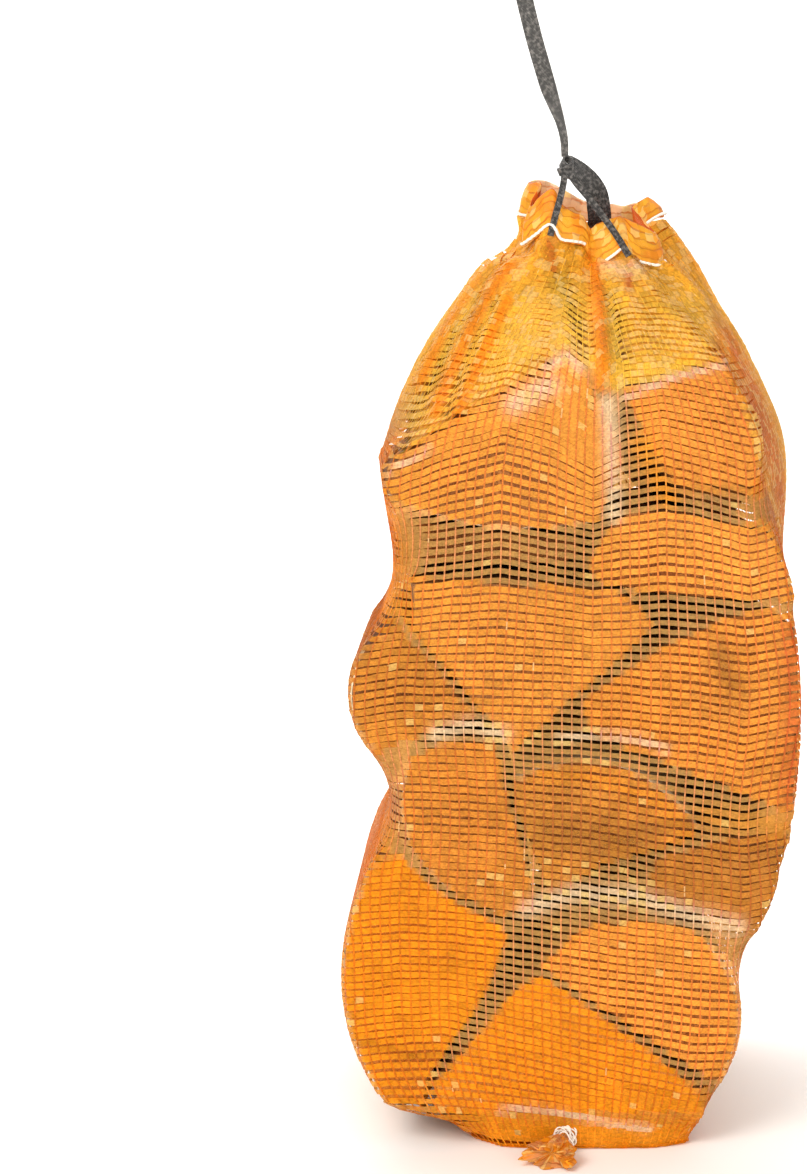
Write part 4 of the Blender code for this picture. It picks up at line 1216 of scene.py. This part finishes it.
def net_paths():
    """Every tape's line, evenly spaced along the cloth, from the tied base to the seam."""
    levels = np.arange(2.0, SEAM_LEVEL + 1.0, 2.0)
    dense = np.array([net_path(level) for level in levels])
    rise = np.linalg.norm(np.diff(dense, axis=0), axis=2)
    run = np.concatenate([[0.0], np.cumsum(np.median(rise, axis=1))])
    at = np.arange(0.5 * TAPE_PITCH, run[-1], TAPE_PITCH)
    lines = [net_path(level) for level in np.interp(at, run, levels)]
    foot = np.array(net_path(1.0))
    base = []
    for k in range(1, BASE_ROWS + 1):
        t = k / (BASE_ROWS + 1)
        row = foot + (np.array(GATHER) - foot) * t
        lift = soft_noise(row / 14.0, 5)
        row[:, 2] = 0.5 + (0.5 + 0.5 * lift) * 0.7 + (GATHER[2] - 1.0) * t ** 6
        base.append(row)
    return np.array(base[::-1] + lines)


def normals_of(grid):
    """Outward normals of a closed grid of points, row by row."""
    along = np.roll(grid, -1, axis=1) - np.roll(grid, 1, axis=1)
    up = np.gradient(grid, axis=0)
    return unit(np.cross(along, up))


def marked(points, kind):
    """How far points lie in the marks of one kind, 0 to 1, on the front of the net."""
    spots = points[..., [0, 2]]
    share = np.zeros(spots.shape[:-1])
    for mark, half_width, line in NET_MARKS:
        if mark != kind:
            continue
        for start, end in zip(line, line[1:]):
            run = np.subtract(end, start)
            t = np.clip(((spots - start) @ run) / (run @ run), 0.0, 1.0)
            gap = np.linalg.norm(spots - start - t[..., None] * run, axis=-1)
            share = np.maximum(share, np.exp(-(gap / half_width) ** 2))
    fade = SLOT_FADE if kind == "slot" else MARK_FADE
    return share * smooth(*fade, points[..., 1])


def pleat_wave(points):
    """Folds that run up the slack net and close towards the neck, -1 to 1."""
    column = np.arange(COLUMNS)[None, :] * PLEATS / COLUMNS
    at = np.stack([np.broadcast_to(column, points.shape[:-1]), points[..., 2] / 55.0,
                   np.zeros(points.shape[:-1])], axis=-1)
    return soft_noise(at, 31) * smooth(*PLEAT_RISE, points[..., 2])


lines = net_paths()
facing = normals_of(lines)
lines = lines + facing * (PLEAT_DEPTH * pleat_wave(lines) + RIDGE_HEIGHT * marked(lines, "ridge")
                          - SLOT_DEPTH * marked(lines, "slot"))[..., None]
lines[..., 2] += 0.5 * soft_noise(lines / 7.0, 81)
facing = normals_of(lines)

wood = BVHTree.FromPolygons(wood_points, wood_faces)
wood_tones = np.array(wood_tones)


def slackness(points):
    """0 where the net lies on wood, 1 where it hangs slack above it."""
    top = np.interp(points[..., 0], *np.array(WOOD_TOP).T)
    return smooth(0.0, 7.0 + 50.0 * smooth(-95.0, -20.0, points[..., 1]), points[..., 2] - top)


def film_tones(points, outward, gap):
    """The tone that the net takes on at each point from what lies close behind it."""
    hits = [wood.ray_cast(Vector(spot), Vector(way), WOOD_SIGHT)
            for spot, way in zip(points.reshape(-1, 3), -outward.reshape(-1, 3))]
    face = np.array([-1 if hit[2] is None else hit[2] for hit in hits])
    distance = np.array([WOOD_SIGHT if hit[3] is None else hit[3] for hit in hits])
    near = smooth(*TONE_REACH, distance)[:, None]
    tones = (wood_tones[face] * near + FILM_TONES[gap] * (1.0 - near)).reshape(points.shape)
    # Tones from the marks: the red orange marks paint shade, and some pale ones paint highlights
    for share, tone in ((slackness(points), "cone"),
                        (smooth(26.0, 12.0, points[..., 2]), "fold"),
                        (0.4 * smooth(522.0, 556.0, points[..., 2]), "fold"),
                        (0.9 * marked(points, "ridge"), "ridge"),
                        (0.85 * marked(points, "orange"), "fold"),
                        (0.5 * marked(points, "warm"), "fold"),
                        (0.85 * marked(points, "red_shade"), "red_shade"),
                        (0.85 * marked(points, "pale"), "pale")):
        tones += share[..., None] * (FILM_TONES[tone] - tones)
    patchy = 0.1 * soft_noise(points / 24.0, 71) + 0.06 * soft_noise(points / 9.0, 72)
    tones *= (1.0 + patchy - 0.3 * marked(points, "shade"))[..., None]
    return tones, near.reshape(points.shape[:-1])


def glints(points):
    """Share of the net's squares that are painted pale as a highlight."""
    return (0.012 + 0.34 * slackness(points) * (1.0 - 0.9 * marked(points, "ridge"))
            + 0.3 * marked(points, "glint"))


rows = np.broadcast_to(np.arange(len(lines))[:, None], lines.shape[:2]) + 0.5
squares = np.broadcast_to((np.arange(COLUMNS) + COLUMNS // 2) % COLUMNS * WARPS / COLUMNS,
                          lines.shape[:2])
# In the neck some warps sink into the folds, so the squares that show keep their width
stretch = np.roll(np.linalg.norm(np.diff(lines, axis=1, append=lines[:, :1]), axis=2),
                  COLUMNS // 2, axis=1).cumsum(axis=1)
shown = np.roll(stretch - stretch[:, COLUMNS // 2:COLUMNS // 2 + 1], -(COLUMNS // 2), axis=1)
squares = squares + smooth(*NECK_SQUARES, lines[..., 2]) * (
    WARPS / 2 + shown * WARPS / NET_ROUND - squares)
cells = np.stack([squares, rows, np.zeros(rows.shape)], axis=-1)
tones, wood_near = film_tones(lines, facing, "gap")
# Painted shade in the hollows of the pleats, and a little painted light on their crests
tones *= (1.0 + 0.2 * np.minimum(pleat_wave(lines), 0.3))[..., None]
glint = glints(lines)
wobble = soft_noise(lines / 4.0 + 50.0, 8)[..., None]
up_axis = np.gradient(lines, axis=0)
tape_facing = unit(facing + 0.26 * wobble * unit(up_axis))
# Behind and at the sides, where no wood holds them apart, the tapes have slid closer
# together; in front of a hollow they are drawn narrow
beside = np.maximum(smooth(*CLOSE_BEHIND, lines[..., 1]),
                    smooth(*CLOSE_FACING, abs(facing[..., 0])))
beside = np.maximum(beside, smooth(*CLOSE_BESIDE, abs(lines[..., 0] - FRONT_MIDDLE)))
loose = (1.0 - wood_near) * (1.0 - slackness(lines))
tape_girth = (1.0 + 0.1 * soft_noise(lines / 8.0, 9) + 0.38 * (1.0 - wood_near) * beside
              - 0.15 * loose * (1.0 - beside) + 0.2 * smooth(*CLOSE_BELOW, lines[..., 2])
              - 0.3 * marked(lines, "slot") + 0.35 * marked(lines, "close"))
half = len(lines) // 2
for label, part in (("lower", slice(0, half)), ("upper", slice(half, None))):
    mesh = sweep("net_tapes_" + label, lines[part], tape_facing[part], TAPE_WIDTH,
                 TAPE_THICKNESS, NET_FILM, closed=True, girths=tape_girth[part],
                 extra={"tone": tones[part], "cell": cells[part], "glint": glint[part]})
    show("net_tapes_" + label, mesh, ["net_bag"])

# Warps: half way between and across each tape, in front of it where they cross
between = 0.5 * (lines[:-1] + lines[1:])
woven = np.empty((2 * len(lines) - 1, COLUMNS, 3))
woven[0::2] = lines + facing * (WARP_LIFT + 0.5 * WARP_THICKNESS)
woven[1::2] = between + 0.5 * (facing[:-1] + facing[1:]) * 0.1
woven_facing = normals_of(woven)
warp_at = np.arange(WARPS) * COLUMNS / WARPS
low = np.floor(warp_at).astype(int)
part = (warp_at - low)[None, :, None]
high = (low + 1) % COLUMNS
warp_lines = (woven[:, low] * (1.0 - part) + woven[:, high] * part).transpose(1, 0, 2)
warp_facing = unit((woven_facing[:, low] * (1.0 - part)
                    + woven_facing[:, high] * part)).transpose(1, 0, 2)
warp_tones, warp_near = film_tones(warp_lines, warp_facing, "gap_warp")
warp_tones *= 1.0 - np.array((0.2, 0.44, 0.28)) * warp_near[..., None]
warp_girth = 1.0 - 0.4 * slackness(warp_lines)
sunk = np.arange(WARPS)[:, None] % 3 > 0
warp_girth *= 1.0 - 0.9 * sunk * smooth(*WARPS_SINK, warp_lines[..., 2])
warp_cells = np.floor(warp_lines / (2.0, 2.0, 6.0)) + 0.5
quarter = WARPS // 4
# The warps get a few squares of painted highlight too, a share of the tapes' glint
for label, pick in (("front", np.r_[0:quarter, WARPS - quarter:WARPS]),
                    ("back", np.r_[quarter:WARPS - quarter])):
    mesh = sweep("net_warps_" + label, warp_lines[pick], warp_facing[pick], WARP_WIDTH,
                 WARP_THICKNESS, WARP_FILM, girths=warp_girth[pick],
                 extra={"tone": warp_tones[pick], "cell": warp_cells[pick],
                        "glint": 0.15 * glints(warp_lines)[pick]})
    show("net_warps_" + label, mesh)


def layered_mesh(name, grid, finish, values):
    """Mesh of a closed band of two layers: rows up the outside and down the inside."""
    n = len(grid)
    index = np.arange(n * COLUMNS).reshape(n, COLUMNS)
    nxt = np.roll(index, -1, axis=1)
    quads = np.stack([index, nxt, np.roll(nxt, -1, axis=0), np.roll(index, -1, axis=0)],
                     axis=-1).reshape(-1, 4)
    mesh = new_mesh(name, place(grid.reshape(-1, 3)), quads.tolist())
    mesh.materials.append(finish)
    for label, grid_values in values.items():
        store(mesh, label, grid_values, "FLOAT_VECTOR")
    mesh.shade_smooth()
    return mesh


def slack_layer():
    """The folded inner layer of the slack net, from the wood up to the hem."""
    start = evened((slackness(lines) > 0.4).argmax(axis=0).astype(float), 3)
    row = start + (len(lines) - 1.001 - start) * np.linspace(0.0, 1.0, SLACK_ROWS)[:, None]
    k = row.astype(int)
    f = (row - k)[..., None]
    spots = between_rows(lines, k, f)
    out = unit(between_rows(facing, k, f))
    crumple = soft_noise(spots / (7.0, 7.0, 16.0), 61)[..., None]
    outer = spots - out * (SLACK_DEPTH + 0.8 * (1.0 + crumple))
    grid = np.concatenate([outer, (outer - out * 0.4)[::-1]])
    cell = np.stack([squares[k, np.arange(COLUMNS)] + 0.37, row, np.full(row.shape, 7.0)], axis=-1)
    tone = between_rows(tones, k, f)
    # Painted shade: along the slots between folds the folded layer is darkened nearly to black
    tone = tone * (1.0 - 0.95 * marked(spots, "slot"))[..., None]
    return layered_mesh("net_slack_layer", grid, SLACK_FILM, {
        "cell": np.concatenate([cell, cell[::-1]]), "tone": np.concatenate([tone, tone[::-1]])})


slack = show("net_slack_layer", slack_layer())


# Hem, seam and the tied lower end

def hem_band():
    """The hem: net turned down and sewn, so two layers of film with a round upper edge."""
    rows = []
    rise = edge - seam
    out = unit(np.cross(np.roll(seam, -1, axis=0) - np.roll(seam, 1, axis=0), rise))
    for k in range(HEM_STEPS + 1):
        t = k / HEM_STEPS
        puff = math.sin(math.pi * t) * 1.6 + 0.4
        rows.append(seam + rise * t + out * puff)
    rows.append(edge + unit(rise) * 0.8)
    for k in range(HEM_STEPS, -1, -1):
        t = k / HEM_STEPS
        rows.append(seam + rise * t - out * (HEM_GAP * 0.5 + 0.4 * math.sin(math.pi * t)))
    grid = np.array(rows)
    pucker = soft_noise(grid / (2.4, 2.4, 9.0), 12)[..., None]
    grid = grid + out[None] * pucker * 0.5
    around = np.linalg.norm(np.diff(seam, axis=0, append=seam[:1]), axis=1).cumsum()
    height = np.linalg.norm(rise, axis=1)
    share = np.linspace(0.0, 1.0, HEM_STEPS + 1)
    up = np.concatenate([share, [1.0], np.linspace(1.0, 0.0, HEM_STEPS + 1)])
    cell = np.stack([np.broadcast_to(around * WARPS / NET_ROUND, grid.shape[:2]),
                     up[:, None] * height / TAPE_PITCH + 0.3, np.full(grid.shape[:2], 3.0)],
                    axis=-1)
    # The front is bright, the back of the hem pale and the inside of the mouth in shade
    inside = (np.arange(len(grid)) > HEM_STEPS)[:, None]
    tone = np.where(inside[..., None], FILM_TONES["mouth"], FILM_TONES["hem"])
    blush = smooth(-0.3, 0.6, soft_noise(grid / 9.0, 17))[..., None] * ~inside[..., None]
    tone = tone + 0.7 * blush * (FILM_TONES["blush"] - tone)
    behind = smooth(0.0, 12.0, grid[..., 1])[..., None]
    tone = tone + 0.75 * behind * (FILM_TONES["pale"] - tone)
    mesh = layered_mesh("net_hem", grid, FOLDED_FILM, {"cell": cell, "tone": tone})
    return mesh, out


hem_mesh, hem_out = hem_band()
hem = show("net_hem", hem_mesh)
stitch_runs = []
stitch_facings = []
for first, last in STITCH_RUNS:
    at = np.interp(np.linspace(first, last, STITCH_POINTS), *SEAM_SPREAD)
    k = at.astype(int) % COLUMNS
    f = (at % 1.0)[:, None]
    line = between_columns(seam, k, f)
    side = unit(between_columns(hem_out, k, f))
    lift = 1.35 + 0.3 * np.sin(np.arange(STITCH_POINTS) * 1.25)[:, None]
    stitch_runs.append(line + side * lift + (0.0, 0.0, 1.4))
    stitch_facings.append(side)
seam_mesh = sweep("hem_seam", stitch_runs, stitch_facings, STITCH_GIRTH, STITCH_GIRTH,
                  WHITE_THREAD, tree=THREAD_SWEEP)
seam_piece = show("hem_seam", seam_mesh, ["hem_stitching"])


def tied_end():
    """The gathered tail of the tube: a fan of crumpled film on the floor."""
    root = np.array(TUFT_ROOT)
    tip = np.array(TUFT_TIP)
    forward = unit(tip - root)
    side = unit(np.cross(forward, UP))
    radii = np.interp(np.linspace(0, 1, TUFT_RINGS), *TUFT_RADII)
    grid = []
    for i, radius in enumerate(radii):
        t = i / (TUFT_RINGS - 1)
        opened = smooth(5.0, 13.0, radius)
        a = turn_round(TUFT_ROUND)
        fold = (1.0 + 0.1 * opened * np.cos(7.0 * a + 0.8 * t)
                + (0.08 + 0.05 * opened) * np.cos(17.0 * a + 1.7 + 2.0 * t)
                + 0.16 * opened * soft_noise(np.stack([2.5 * np.cos(a), 2.5 * np.sin(a),
                                                       np.full(TUFT_ROUND, 5.0 * t)], axis=1), 37))
        centre = root + (tip - root) * t
        flat = 1.0 - 0.45 * opened
        ring = (centre + side * (radius * fold * np.cos(a))[:, None]
                + UP * (radius * flat * fold * np.sin(a))[:, None])
        ring += forward * (opened * 3.5 * np.cos(5.0 * a + 1.0) * t)[:, None]
        ring[:, 2] = np.maximum(ring[:, 2], 0.4)
        grid.append(ring)
    inner = [ring.mean(axis=0) + (ring - ring.mean(axis=0)) * share
             for ring, share in zip(grid[:-6:-1], (0.92, 0.84, 0.7, 0.5, 0.25))]
    grid = np.array(grid + inner)
    index = np.arange(len(grid) * TUFT_ROUND).reshape(len(grid), TUFT_ROUND)
    nxt = np.roll(index, -1, axis=1)
    quads = np.stack([index[:-1], index[1:], nxt[1:], nxt[:-1]], axis=-1).reshape(-1, 4).tolist()
    quads.append(index[0].tolist())
    quads.append(index[-1][::-1].tolist())
    mesh = new_mesh("net_tied_end", place(grid.reshape(-1, 3)), quads)
    mesh.materials.append(FOLDED_FILM)
    spots = grid.reshape(-1, 3)
    turn = np.tile(np.arange(TUFT_ROUND) * 0.5, len(grid))
    store(mesh, "cell", np.stack([turn, spots[:, 1] / TAPE_PITCH, turn * 0.0], axis=1),
          "FLOAT_VECTOR")
    brown = smooth(-0.3, 0.5, soft_noise(spots / 6.0, 23))[:, None]
    store(mesh, "tone", FILM_TONES["fold"] * (1.0 - brown) + FILM_TONES["tuft"] * brown,
          "FLOAT_VECTOR")
    mesh.shade_smooth()
    return mesh


tied = show("net_tied_end", tied_end())

wrap_t = np.linspace(0.0, 1.0, WRAP_POINTS)
wrap_angle = 2.0 * math.pi * WRAP_TURNS * wrap_t
wrap_root = np.array(WRAP_MIDDLE)
wrap_axis = unit(np.subtract(TUFT_TIP, TUFT_ROOT) * (1.0, 1.0, 0.0))
wrap_side = unit(np.cross(wrap_axis, UP))
wrap_radius = 6.2 + 1.3 * np.sin(1.55 * wrap_angle) + 1.1 * np.sin(3.7 * wrap_angle + 1.0)
wrap = (wrap_root + wrap_axis * (10.0 * (wrap_t - 0.5) + 2.2 * np.sin(wrap_angle * 0.7))[:, None]
        + wrap_side * (wrap_radius * np.cos(wrap_angle))[:, None]
        + UP * (wrap_radius * np.sin(wrap_angle))[:, None])
wrap[:, 2] = np.maximum(wrap[:, 2], 1.0)
wrap_mesh = sweep("tie_thread", wrap[None], unit(wrap - wrap_root)[None], WRAP_THREAD, WRAP_THREAD,
                  WHITE_THREAD, tree=THREAD_SWEEP)
show("tie_thread", wrap_mesh, ["bottom_thread"])


# The rest of the drawstring

for piece_name, route, width, count in (("drawstring_leg_left", LEG_LEFT, LEG_WIDTH, 24),
                                        ("drawstring_leg_right", LEG_RIGHT, LEG_WIDTH, 30),
                                        ("drawstring_strap", STRAP, STRAP_WIDTH, 90)):
    piece_mesh, _ = string_tape(piece_name + "_tape", route, width, count, SHADED_BLACK_TAPE)
    show(piece_name + "_tape", piece_mesh, [piece_name])
show("drawstring_knot_tape", knot_mesh("knot", KNOT, 6.0), ["drawstring_knot"])
